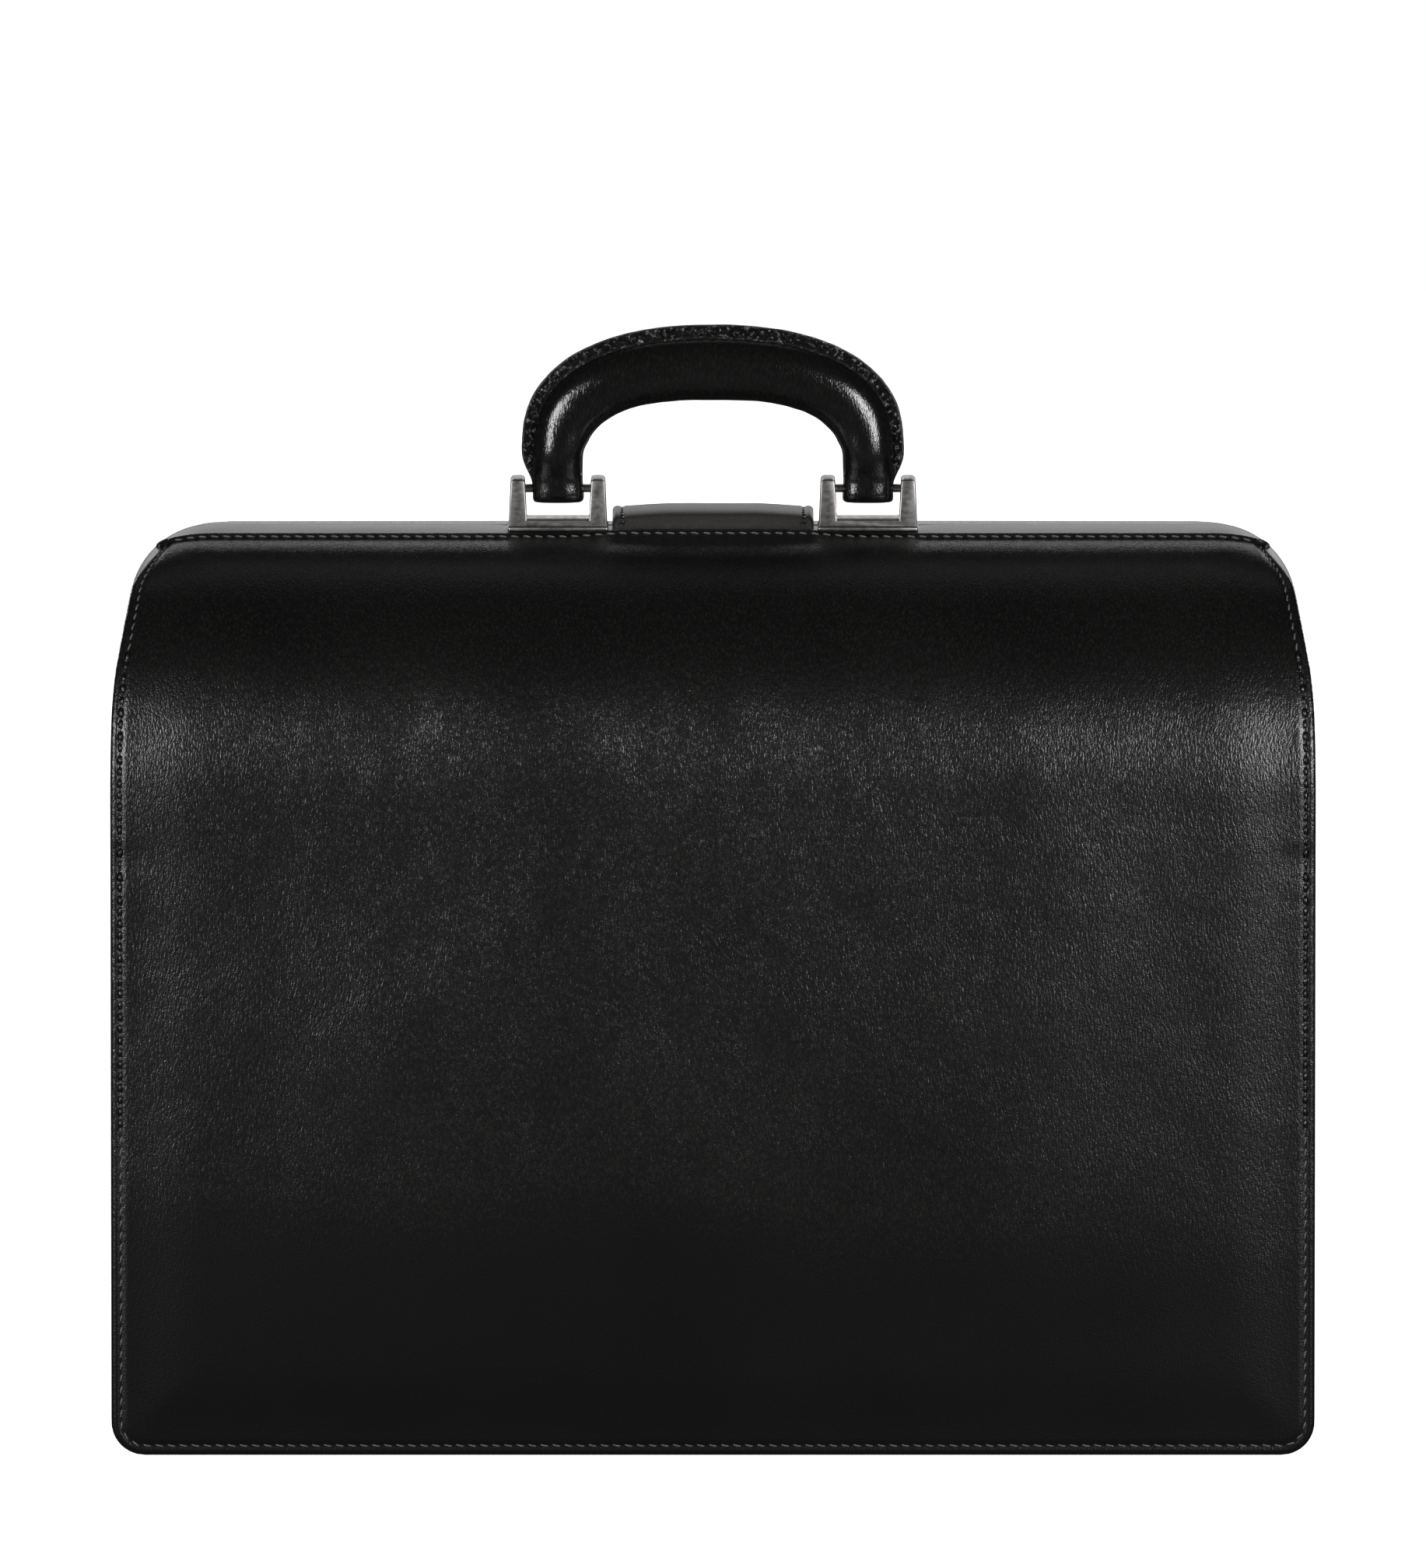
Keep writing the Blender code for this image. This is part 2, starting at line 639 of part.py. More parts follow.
def lock_movers(parent):
    """The lock's key cylinder and its sliding button. Both have their origin on their own axis."""
    cylinder = [(-5.8, 5.0), (1.2, 5.0), (1.8, 4.2)]
    centre = (0.0, CASE_FRONT, STUD_HEIGHT)
    body = turned("lock_cylinder", cylinder, centre, 1, NICKEL, parent)
    keyway = box(
        "keyway",
        (-0.6, CASE_FRONT - 3.0, STUD_HEIGHT - 2.6),
        (0.6, CASE_FRONT + 3.0, STUD_HEIGHT + 2.6),
        NICKEL,
        parent,
    )
    cut(body, keyway)
    box(
        "lock_button",
        (-5.0, CASE_FRONT - 4.0, BUTTON_HEIGHT - 3.0),
        (5.0, CASE_FRONT + BUTTON_REACH, BUTTON_HEIGHT + 3.0),
        NICKEL,
        parent,
    )


def lock_catch():
    """The plate and stud on the front panel that the strap's lock closes on."""
    low = HALF_DEPTH + GAP
    plate = box(
        "lock_catch_plate",
        (-14.0, low, STUD_HEIGHT - 9.0),
        (14.0, low + 1.2, STUD_HEIGHT + 9.0),
        NICKEL,
    )
    stud = [(low + 0.6, 3.0), (low + 6.0, 3.0), (low + 6.9, 2.2)]
    join(plate, turned("lock_stud", stud, (0.0, 0.0, STUD_HEIGHT), 1, NICKEL))


def build():
    for old in list(bpy.data.objects):
        bpy.data.objects.remove(old)
    lower_bag()
    hinge_pins()
    lock_catch()
    back_axis = axis_empty("back_frame_axis", 0.0, HINGE_HEIGHT)
    front_axis = axis_empty("front_frame_axis", 0.0, HINGE_HEIGHT)
    frame_half("front", 1, FRONT_BAR_X, front_axis)
    bar, cover = frame_half("back", -1, BACK_BAR_X, back_axis)
    brackets(bar, cover, back_axis)
    handle(axis_empty("handle_axis", BRACKET_Y, HANDLE_PIN_HEIGHT, back_axis))
    strap_top(back_axis)
    joint_y, joint_z = shoulder(STRAP_JOINT_ANGLE, STRAP_CLEARANCE + STRAP)
    strap_axis = axis_empty("strap_axis", joint_y, joint_z, back_axis)
    lock(strap_axis, strap_flap(strap_axis))
    lock_movers(axis_empty("lock_axis", CASE_FRONT, STUD_HEIGHT, strap_axis))


build()
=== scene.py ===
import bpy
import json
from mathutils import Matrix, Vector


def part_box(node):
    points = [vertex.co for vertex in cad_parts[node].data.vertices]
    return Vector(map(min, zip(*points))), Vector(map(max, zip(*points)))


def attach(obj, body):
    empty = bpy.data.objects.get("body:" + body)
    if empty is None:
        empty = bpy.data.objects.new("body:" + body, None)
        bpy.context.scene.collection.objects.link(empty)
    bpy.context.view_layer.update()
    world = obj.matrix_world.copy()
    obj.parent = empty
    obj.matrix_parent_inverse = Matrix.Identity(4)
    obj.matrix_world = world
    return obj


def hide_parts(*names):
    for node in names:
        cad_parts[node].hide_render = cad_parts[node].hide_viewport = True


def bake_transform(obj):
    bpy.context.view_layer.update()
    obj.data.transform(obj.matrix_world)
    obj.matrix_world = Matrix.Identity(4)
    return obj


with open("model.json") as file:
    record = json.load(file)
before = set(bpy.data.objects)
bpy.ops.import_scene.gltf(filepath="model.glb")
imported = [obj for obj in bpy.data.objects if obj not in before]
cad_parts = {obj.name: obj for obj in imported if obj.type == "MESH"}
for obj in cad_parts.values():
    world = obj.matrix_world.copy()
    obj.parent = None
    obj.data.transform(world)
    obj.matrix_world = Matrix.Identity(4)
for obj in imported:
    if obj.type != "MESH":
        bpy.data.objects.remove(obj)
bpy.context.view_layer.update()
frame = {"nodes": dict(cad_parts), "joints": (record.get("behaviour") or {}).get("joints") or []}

import json
import math

import bmesh
import bpy
import numpy as np
from mathutils import Vector, noise

MM = 0.001
BACK, FRONT = -1, 1

# y is measured from the plane midway between the two panels, which lies behind the frame's origin.
MIDDLE_Y = (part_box("back_panel_lower")[0][1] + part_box("front_panel_lower")[1][1]) / 2.0 / MM


def size_mm(node):
    """The low and high corners of a CAD node, in bag millimetres."""
    low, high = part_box(node)
    return [[corner[0] / MM, corner[1] / MM - MIDDLE_Y, corner[2] / MM] for corner in (low, high)]


def to_frame(place):
    """A place in bag millimetres, in the frame's metres."""
    return (place[0] * MM, (place[1] + MIDDLE_Y) * MM, place[2] * MM)


def joint_place(name):
    """Where a joint's axis lies, in bag millimetres."""
    place = JOINTS[name]["pos_m"]
    return [place[0] / MM, place[1] / MM - MIDDLE_Y, place[2] / MM]


# Driving places, taken from the frame, in millimetres.
JOINTS = {joint["name"]: joint for joint in frame["joints"]}
HINGE = joint_place("frame_open")
HANDLE_PIN = joint_place("handle_swing")
HALF_WIDTH, HALF_DEPTH, _ = size_mm("front_panel_lower")[1]
_, HALF_FRAME, COVER_TOP = size_mm("front_frame_cover")[1]
SEAM_HEIGHT = COVER_TOP - 1.1
SHOULDER_BASE = SEAM_HEIGHT - 80.0  # the panels are flat up to here

HALF_WORDS = {BACK: "back", FRONT: "front"}
CORNER_RADIUS = 12.0  # of a panel's lower corners
TOP_RADIUS = 5.0  # of a panel's upper corners
PANEL = 2.9  # thickness of a panel
INSET = 8.5  # gusset wall inside the panel's outline
FRAME_RADIUS = 30.0  # of the frame's upper corners
FRAME_HALF_WIDTH = 209.0
FRAME_STRAIGHT = FRAME_HALF_WIDTH - FRAME_RADIUS
BRACKET_X = 55.5  # middle of each bracket, left and right of the bag's middle
STITCH_PITCH = 4.3
STITCH_INSET = 3.5
TINY = 1e-9


# ---- materials


class Nodes:
    """A shorthand for building a node material."""

    def __init__(self, name):
        self.material = bpy.data.materials.new(name)
        self.material.use_nodes = True
        self.tree = self.material.node_tree
        self.shader = self.tree.nodes["Principled BSDF"]
        self.place = self.add("ShaderNodeTexCoord").outputs["Object"]

    def connect(self, socket, value):
        if isinstance(value, bpy.types.NodeSocket):
            self.tree.links.new(value, socket)
        else:
            socket.default_value = value

    def add(self, kind, inputs=None, **settings):
        node = self.tree.nodes.new(kind)
        for key, value in settings.items():
            setattr(node, key, value)
        for key, value in (inputs or {}).items():
            self.connect(node.inputs[key], value)
        return node

    def stretched(self, place, stretch):
        place = place or self.place
        if stretch:
            place = self.add("ShaderNodeMapping", {"Vector": place, "Scale": stretch}).outputs[0]
        return place

    def noise(self, scale, detail=3.0, stretch=None, roughness=0.5, place=None):
        inputs = {"Vector": self.stretched(place, stretch), "Scale": scale}
        inputs.update({"Detail": detail, "Roughness": roughness})
        return self.add("ShaderNodeTexNoise", inputs).outputs["Fac"]

    def cells(self, scale, feature="F1", stretch=None, place=None):
        inputs = {"Vector": self.stretched(place, stretch), "Scale": scale}
        return self.add("ShaderNodeTexVoronoi", inputs, feature=feature).outputs["Distance"]

    def ramp(self, value, low, high, start=0.0, end=1.0):
        inputs = {"Value": value, "From Min": low, "From Max": high, "To Min": start, "To Max": end}
        return self.add("ShaderNodeMapRange", inputs).outputs["Result"]

    def math(self, operation, first, second):
        return self.add("ShaderNodeMath", {0: first, 1: second}, operation=operation).outputs[0]

    def mix(self, share, first, second):
        inputs = {"Factor": share, 6: first, 7: second}
        return self.add("ShaderNodeMix", inputs, data_type="RGBA").outputs[2]

    def bump(self, height, distance, strength=1.0, normal=None):
        inputs = {"Height": height, "Distance": distance * MM, "Strength": strength}
        if normal:
            inputs["Normal"] = normal
        return self.add("ShaderNodeBump", inputs).outputs["Normal"]

    def finish(self, **inputs):
        """Sets the shader's inputs, with base_color for Base Color and so on."""
        for key, value in inputs.items():
            self.connect(self.shader.inputs[key.replace("_", " ").title().replace("Ior", "IOR")], value)
        return self.material


def grey(level, warmth=0.0):
    return (level * (1.0 + warmth), level, level * (1.0 - warmth), 1.0)


def leather(name, dark, light, gloss, grain=1.0, creases=1.0):
    """Polished calf leather: pebble grain and fine upright creases that lean here and there.

    Their ridges are painted lighter, a painted highlight standing in for the light that they catch. The
    creases and these painted highlights fade out low on the bag, where the leather has been pressed
    flat.
    """
    n = Nodes(name)
    wander = n.add("ShaderNodeTexNoise", {"Vector": n.place, "Scale": 22.0, "Detail": 2.0})
    inputs = {0: wander.outputs["Color"], 1: (0.012, 0.012, 0.004)}
    shift = n.add("ShaderNodeVectorMath", inputs, operation="MULTIPLY")
    moved = n.add("ShaderNodeVectorMath", {0: n.place, 1: shift.outputs[0]}, operation="ADD")
    veins = n.cells(640.0, "DISTANCE_TO_EDGE", (1.5, 1.0, 0.5), moved.outputs[0])
    folds = n.noise(940.0, 3.0, (1.4, 1.0, 0.40), 0.55, moved.outputs[0])
    pebble = n.cells(1500.0, "F1")
    fine = n.noise(2600.0, 2.0)
    broad = n.noise(14.0, 3.0)
    height = n.add("ShaderNodeSeparateXYZ", {0: n.place}).outputs["Z"]
    edge = n.math("ADD", height, n.math("MULTIPLY", n.noise(7.0, 1.0), 0.06))
    raised = n.ramp(edge, 0.095, 0.125, 0.25, 1.0)
    patch = n.math("MULTIPLY", n.ramp(broad, 0.3, 0.7, 0.85, 1.0), raised)
    lines = n.math("ADD", n.ramp(veins, 0.0, 0.30, 0.0, 0.5), n.ramp(folds, 0.25, 0.75))
    lines = n.math("MULTIPLY", lines, patch)
    colour = n.mix(n.ramp(broad, 0.35, 0.65), grey(dark, 0.05), grey(light, 0.05))
    # Painted highlight: the crease lines are painted lighter, standing in for the light that their
    # ridges catch.
    wear_and_glint = n.ramp(lines, 0.55, 1.15)
    colour = n.mix(wear_and_glint, colour, grey(light * (1.0 + 1.6 * creases), 0.05))
    polish = n.ramp(fine, 0.3, 0.7, gloss - 0.02, gloss + 0.03)
    creased = n.bump(lines, 0.075 * creases)
    pebbled = n.bump(pebble, 0.045 * grain, 1.0, creased)
    surface = n.bump(fine, 0.012 * grain, 0.7, pebbled)
    return n.finish(base_color=colour, roughness=polish, normal=surface)


def rim_leather():
    """Leather gathered and sewn through, crumpled into small folds whose crests are painted light grey
    as painted highlights.
    """
    n = Nodes("rim_leather_creased")
    folds = n.noise(620.0, 6.0, roughness=0.78)
    pits = n.cells(750.0, "DISTANCE_TO_EDGE")
    # Painted highlight: the crests of the folds are painted light grey, standing in for the overhead
    # light that they catch.
    wear_and_glint = n.ramp(folds, 0.55, 0.66)
    colour = n.mix(wear_and_glint, grey(0.003, 0.04), grey(0.60, 0.03))
    crumpled = n.bump(folds, 4.0)
    return n.finish(base_color=colour, roughness=0.34, normal=n.bump(pits, 0.25, 0.7, crumpled))


def edge_paint():
    """The painted cut edge of the leather, a little lighter and duller, with scuffs."""
    n = Nodes("edge_paint")
    scuff = n.noise(420.0, 4.0)
    colour = n.mix(n.ramp(scuff, 0.45, 0.7), grey(0.022), grey(0.07))
    return n.finish(base_color=colour, roughness=0.42, normal=n.bump(scuff, 0.12, 0.5))


def thread():
    n = Nodes("waxed_thread")
    twist = n.noise(1500.0, 2.0, stretch=(1.0, 1.0, 2.5))
    # The thread's grey is lighter than the leather: partly its own tone, partly a painted highlight
    # standing in for the light that its stitches catch.
    colour = n.mix(n.ramp(twist, 0.35, 0.65), grey(0.045), grey(0.12))
    return n.finish(base_color=colour, roughness=0.5, normal=n.bump(twist, 0.08, 0.8))


def nickel(name="satin_nickel_brushed", level=0.205, gloss=0.33):
    n = Nodes(name)
    brushed = n.noise(420.0, 3.0, stretch=(1.0, 0.2, 1.6))
    smudge = n.noise(60.0, 3.0)
    colour = n.mix(n.ramp(smudge, 0.3, 0.7), grey(level, 0.04), grey(level * 1.2, 0.03))
    wear_and_glint = n.ramp(brushed, 0.3, 0.7, gloss - 0.04, gloss + 0.08)
    surface = n.bump(brushed, 0.012, 0.3)
    return n.finish(base_color=colour, metallic=1.0, roughness=wear_and_glint, normal=surface)


def steel():
    n = Nodes("rolled_steel")
    mottle = n.noise(180.0, 4.0)
    colour = n.mix(n.ramp(mottle, 0.3, 0.7), grey(0.22), grey(0.34))
    rough = n.ramp(mottle, 0.3, 0.7, 0.34, 0.5)
    return n.finish(base_color=colour, metallic=1.0, roughness=rough)


def board():
    n = Nodes("pressed_board")
    fibre = n.noise(700.0, 5.0, stretch=(1.0, 1.0, 0.3))
    colour = n.mix(fibre, (0.14, 0.09, 0.055, 1.0), (0.22, 0.15, 0.09, 1.0))
    return n.finish(base_color=colour, roughness=0.85, normal=n.bump(fibre, 0.2, 0.5))


def lining_cloth():
    """A plain twill: fine slanting ribs with a little unevenness."""
    n = Nodes("twill_lining")
    inputs = {"Vector": n.place, "Scale": 420.0, "Distortion": 0.6}
    waves = n.add("ShaderNodeTexWave", inputs, bands_direction="DIAGONAL").outputs["Fac"]
    uneven = n.noise(50.0, 3.0)
    colour = n.mix(n.math("MULTIPLY", waves, uneven), (0.04, 0.038, 0.036, 1), (0.11, 0.105, 0.1, 1))
    return n.finish(base_color=colour, roughness=0.9, sheen_weight=0.3, normal=n.bump(waves, 0.12))


def felt():
    n = Nodes("core_felt_fibre")
    fibre = n.noise(900.0, 5.0)
    colour = n.mix(fibre, (0.07, 0.065, 0.06, 1), (0.16, 0.15, 0.14, 1))
    return n.finish(base_color=colour, roughness=0.95, normal=n.bump(fibre, 0.3))


LEATHER = leather("calf_leather_black", 0.0024, 0.0034, 0.26)
HANDLE_LEATHER = leather("handle_leather_black", 0.0026, 0.0038, 0.16, 0.5, 0.55)
RIM_LEATHER = rim_leather()
# The frame cover's and the strap's leather have a greyer base than the panels': partly their own tone,
# partly a painted sheen standing in for the soft reflection that they catch.
COVER_LEATHER = leather("frame_leather_polished", 0.030, 0.038, 0.33, 0.5, 0.3)
STRAP_LEATHER = leather("strap_leather_black", 0.028, 0.036, 0.42, 0.5, 0.2)
EDGE = edge_paint()
THREAD = thread()
NICKEL = nickel()
BRIGHT = nickel("pin_nickel_polished", 0.55, 0.16)
STEEL = steel()
BOARD = board()
LINING = lining_cloth()
FELT = felt()


# ---- shapes


def smooth(value, low=0.0, high=1.0):
    share = min(max((value - low) / (high - low), 0.0), 1.0)
    return share * share * (3.0 - 2.0 * share)


def rough(x, y, z, scale, seed=0.0):
    """A steady pseudo-random value between -1 and 1 for a place in millimetres."""
    return noise.noise(Vector((x / scale + seed, y / scale - seed, z / scale + 0.37 * seed)))


def arc(steps, first=0):
    """(cosine, sine) for even steps through a quarter turn."""
    turns = [math.pi / 2 * i / steps for i in range(first, steps + 1)]
    return [(math.cos(turn), math.sin(turn)) for turn in turns]


def circle(middle, across, up, radius, sides):
    """Places on a circle round a middle, in the plane of two directions."""
    turns = [2.0 * math.pi * i / sides for i in range(sides)]
    return [middle + (across * math.cos(turn) + up * math.sin(turn)) * radius for turn in turns]


def placed(name, mesh, body):
    """The object for a piece's mesh, riding on its body."""
    obj = bpy.data.objects.new(name, mesh)
    bpy.context.collection.objects.link(obj)
    if body:
        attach(obj, body)
    return obj


def piece(name, points, faces, materials, body, slot_name, picks=None, smooth_angle=50.0):
    """A mesh piece in bag millimetres. picks gives a material index for each face.
    """
    mesh = bpy.data.meshes.new(name)
    mesh.from_pydata([to_frame(p) for p in points], [], faces)
    for material in materials:
        mesh.materials.append(material)
    if picks:
        mesh.polygons.foreach_set("material_index", picks)
    bm = bmesh.new()
    bm.from_mesh(mesh)
    bmesh.ops.recalc_face_normals(bm, faces=bm.faces)
    bm.to_mesh(mesh)
    bm.free()
    mesh.shade_smooth()
    mesh.set_sharp_from_angle(angle=math.radians(smooth_angle))
    return placed(name, mesh, body)


def grid_faces(rows, cols, start=0, closed_cols=False):
    faces = []
    for i in range(rows - 1):
        for j in range(cols if closed_cols else cols - 1):
            k = (j + 1) % cols
            first, second = start + i * cols, start + (i + 1) * cols
            faces.append((first + j, first + k, second + k, second + j))
    return faces


def shell(name, outer, inner, materials, body, slot_name, **more):
    """A closed thin shell from two matching grids of points. Its rim takes the last material."""
    rows_count, cols = len(outer), len(outer[0])
    points = [p for row in outer for p in row] + [p for row in inner for p in row]
    back = rows_count * cols
    faces = grid_faces(rows_count, cols) + grid_faces(rows_count, cols, back)
    picks = [0] * len(faces)
    rim = list(range(cols))
    rim += [i * cols + cols - 1 for i in range(1, rows_count)]
    rim += [(rows_count - 1) * cols + j for j in range(cols - 2, -1, -1)]
    rim += [i * cols for i in range(rows_count - 2, 0, -1)]
    for a, b in zip(rim, rim[1:] + rim[:1]):
        faces.append((a, b, back + b, back + a))
        picks.append(len(materials) - 1)
    return piece(name, points, faces, materials, body, slot_name, picks, **more)


def tube(name, rings, materials, body, slot_name, picks=None, **more):
    """A closed skin over rings of equal length, with one flat face at each end."""
    cols = len(rings[0])
    points = [p for ring in rings for p in ring]
    faces = grid_faces(len(rings), cols, closed_cols=True)
    faces.append(tuple(range(cols)))
    faces.append(tuple(len(points) - cols + j for j in range(cols)))
    if picks:
        picks = picks + [0, 0]
    return piece(name, points, faces, materials, body, slot_name, picks, **more)


# The panel's form: x across, s up its surface from the floor.

SHOULDER_DEPTH = HALF_DEPTH - HALF_FRAME
SHOULDER_RISE = SEAM_HEIGHT - SHOULDER_BASE


def shoulder(turn, offset=0.0):
    """(|y|, z) on the panel's curved shoulder. Turn runs from 0 at its base to a quarter turn."""
    normal = Vector((math.cos(turn) / SHOULDER_DEPTH, math.sin(turn) / SHOULDER_RISE)).normalized()
    return (
        HALF_FRAME + SHOULDER_DEPTH * math.cos(turn) + offset * normal.x,
        SHOULDER_BASE + SHOULDER_RISE * math.sin(turn) + offset * normal.y,
    )


SHOULDER_STEPS = 400
SHOULDER_LENGTHS = [0.0]
for step in range(SHOULDER_STEPS):
    near = Vector(shoulder(math.pi / 2 * step / SHOULDER_STEPS))
    far = Vector(shoulder(math.pi / 2 * (step + 1) / SHOULDER_STEPS))
    SHOULDER_LENGTHS.append(SHOULDER_LENGTHS[-1] + (far - near).length)
SHOULDER_TURNS = np.linspace(0.0, math.pi / 2, len(SHOULDER_LENGTHS))
PANEL_LENGTH = SHOULDER_BASE + SHOULDER_LENGTHS[-1]


def turn_at(s):
    """The shoulder angle at a length s up the panel."""
    return float(np.interp(s - SHOULDER_BASE, SHOULDER_LENGTHS, SHOULDER_TURNS))


def length_at(turn):
    """The length up the panel at a shoulder angle."""
    return SHOULDER_BASE + float(np.interp(turn, SHOULDER_TURNS, SHOULDER_LENGTHS))


def profile_at(s, offset=0.0):
    """(|y|, z) at a length s up the panel."""
    if s <= SHOULDER_BASE:
        return HALF_DEPTH + offset, s
    return shoulder(turn_at(s), offset)


SIDE_TURNS = (0, 10, 20, 30, 40, 50, 60, 70, 80, 90)
SIDE_INSETS = {
    BACK: (0.0, 0.15, 0.5, 1.6, 3.8, 5.8, 7.6, 11.0, 14.8, 17.2),
    FRONT: (1.0, 2.0, 4.4, 6.6, 8.8, 12.0, 16.0, 20.0, 23.0, 25.0),
}


def side_at(s, half=BACK):
    """Half width of the panel's straight side, before its corners are rounded."""
    inset = float(np.interp(math.degrees(turn_at(s)), SIDE_TURNS, SIDE_INSETS[half]))
    if half == FRONT:
        inset *= smooth(s, SHOULDER_BASE - 60.0, SHOULDER_BASE + 6.0)
    return HALF_WIDTH - inset


def arc_fall(over, radius):
    """How far an arc has fallen away from its tangent after a distance along it."""
    return radius - math.sqrt(max(radius**2 - over**2, 0.0))


def half_width_at(s, half=BACK):
    """Half width of the panel at s, with its rounded corners."""
    side = side_at(s, half)
    if s < CORNER_RADIUS:
        side -= arc_fall(CORNER_RADIUS - s, CORNER_RADIUS)
    left = PANEL_LENGTH - s
    if left < TOP_RADIUS:
        side -= arc_fall(TOP_RADIUS - left, TOP_RADIUS)
    return side


def round_corner(across, along, radius):
    """Distance to a rounded corner, from a place's distances to its two sides."""
    return radius - math.hypot(radius - across, radius - along)


def edge_distance(x, s, half=BACK):
    """Distance from the panel's outline, measured on its surface."""
    across, down = side_at(s, half) - abs(x), PANEL_LENGTH - s
    if across < CORNER_RADIUS and s < CORNER_RADIUS:
        return round_corner(across, s, CORNER_RADIUS)
    if across < TOP_RADIUS and down < TOP_RADIUS:
        return round_corner(across, down, TOP_RADIUS)
    return min(across, s, down)


def frame_drop(x):
    """How far the frame's rounded corner lies below its top at x."""
    return arc_fall(min(max(abs(x) - FRAME_STRAIGHT, 0.0), FRAME_RADIUS), FRAME_RADIUS)


EDGE_FALL, EDGE_ROUND = 1.1, 0.55  # the leather falls away at its cut edge
GROOVE_DEPTH, GROOVE_HALF = 0.55, 0.85  # the stitches lie in a groove
PADDING = 1.3  # rise of the leather inside its border
BELLY, BELLY_REACH = 3.2, 120.0
PIT_DEPTH = 0.35  # dimples between the stitches up both sides
CREASE_DEPTH, CREASE_HALF, CREASE_HEIGHT = 0.9, 2.2, 214.0  # a crease across both sides
STRAP_LIFT = 1.3  # the back panel's top edge rises over the strap


def belly(from_side, s, half):
    """The soft swelling of a panel, which fades towards its edges and up the back's shoulder."""
    swell = BELLY * smooth(from_side, 8.0, BELLY_REACH) * smooth(s, 8.0, BELLY_REACH)
    swell *= smooth(PANEL_LENGTH - s, 8.0, BELLY_REACH)
    if half == BACK:
        swell *= 1.25 - 1.05 * smooth(s, 130.0, 265.0)
    return swell


def panel_relief(x, s, half, seed):
    """How far the leather stands off its plain form: a stitched border, a soft belly and creases."""
    d = edge_distance(x, s, half)
    from_side = side_at(s, half) - abs(x)
    relief = -EDGE_FALL * math.exp(-d / EDGE_ROUND)
    relief -= GROOVE_DEPTH * math.exp(-((d - STITCH_INSET) / GROOVE_HALF) ** 2)
    relief += PADDING * smooth(d, 4.0, 32.0)
    relief += belly(from_side, s, half)
    upright = smooth(from_side, 60.0, 4.0) * smooth(s, 110.0, 190.0) * smooth(s, 330.0, 270.0)
    relief += PIT_DEPTH * upright * math.sin(math.pi * s / STITCH_PITCH) * smooth(d, 12.0, 5.0)
    crease = math.exp(-((s - CREASE_HEIGHT + 0.02 * from_side) / CREASE_HALF) ** 2)
    relief -= CREASE_DEPTH * crease * smooth(from_side, 22.0, 5.0)
    inner = smooth(d, 12.0, 60.0)
    relief += inner * 0.30 * rough(x, 0.0, s, 80.0, seed)
    relief += inner * 0.10 * rough(x * 1.8, 0.0, s * 0.6, 26.0, seed + 4.0) * smooth(s, 70.0, 160.0)
    relief += inner * 0.05 * rough(x * 2.0, 0.0, s * 0.5, 9.0, seed + 9.0) * smooth(s, 90.0, 180.0)
    if half == BACK:
        return relief + 1.5 * smooth(s, PANEL_LENGTH - 6.5, PANEL_LENGTH - 1.2)
    return relief - 1.9 * smooth(s, PANEL_LENGTH - 30.0, PANEL_LENGTH - 3.0)


def corner_drop(x, s, half):
    """The panel's top edge follows the frame's rounded corners downwards."""
    if half == BACK:
        return 0.45 * frame_drop(x) * smooth(s, PANEL_LENGTH - 45.0, PANEL_LENGTH)
    return 1.1 * frame_drop(x) * smooth(s, PANEL_LENGTH - 90.0, PANEL_LENGTH - 20.0)


def panel_point(x, s, half, offset, seed):
    """A place on a panel, with the offset measured outwards from its face."""
    offset += panel_relief(x, s, half, seed)
    y, z = profile_at(s, offset)
    z -= corner_drop(x, s, half)
    if half == BACK:
        z += STRAP_LIFT * smooth(abs(x), 54.0, 30.0) * smooth(s, PANEL_LENGTH - 14.0, PANEL_LENGTH - 2.0)
    return (x, half * y, z)


EDGE_DISTANCES = [0.0, 0.35, 0.8, 1.4, 2.1, 2.8, 3.5, 4.2, 5.0, 6.2, 8.0, 10.5, 13.5, 17.0, 21.0, 25.5]


def columns():
    """x places across a full width panel, close together near both sides."""
    edge = [HALF_WIDTH - d for d in EDGE_DISTANCES]
    return [-x for x in edge] + list(np.linspace(-edge[-1], edge[-1], 76)[1:-1]) + edge[::-1]


def rows():
    """Lengths up a panel, close together near its floor and its top edge."""
    top = [PANEL_LENGTH - d for d in EDGE_DISTANCES][::-1]
    return EDGE_DISTANCES + list(np.linspace(EDGE_DISTANCES[-1], top[0], 68)[1:-1]) + top


def fit_width(x, s, half):
    """Moves a full width place so that its distance from the side is kept in a narrower row."""
    narrower = HALF_WIDTH - half_width_at(s, half)
    return x - math.copysign(narrower * (abs(x) / HALF_WIDTH) ** 4, x)


def leather_panel(name, half, seed):
    """One hide from the floor to the frame, as a shell with painted edges."""
    outer, inner = [], []
    for s in rows():
        out_row, in_row = [], []
        for x in columns():
            across = fit_width(x, s, half)
            out_row.append(panel_point(across, s, half, 0.0, seed))
            y, z = profile_at(s, -PANEL)
            in_row.append((across, half * y, z - corner_drop(across, s, half)))
        outer.append(out_row)
        inner.append(in_row)
    obj = shell(name, outer, inner, [LEATHER, EDGE], None, "black_leather")
    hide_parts(f"{HALF_WORDS[half]}_panel_lower", f"{HALF_WORDS[half]}_panel_upper")
    return bend(obj)


def bend(obj):
    """Bakes the piece's placement into its mesh and returns it."""
    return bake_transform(obj)


# ---- stitches


# (place along, width, lift) of a stitch's rings, as shares of its half length and its radius
BEAD_RINGS = (
    (-1.0, 0.35, -0.55), (-0.72, 0.9, 0.1), (0.0, 1.0, 0.45), (0.72, 0.9, 0.1), (1.0, 0.35, -0.55),
)
BEAD_SIDES = 6
PUCKER_LOW, PUCKER_HIGH = 118.0, 292.0


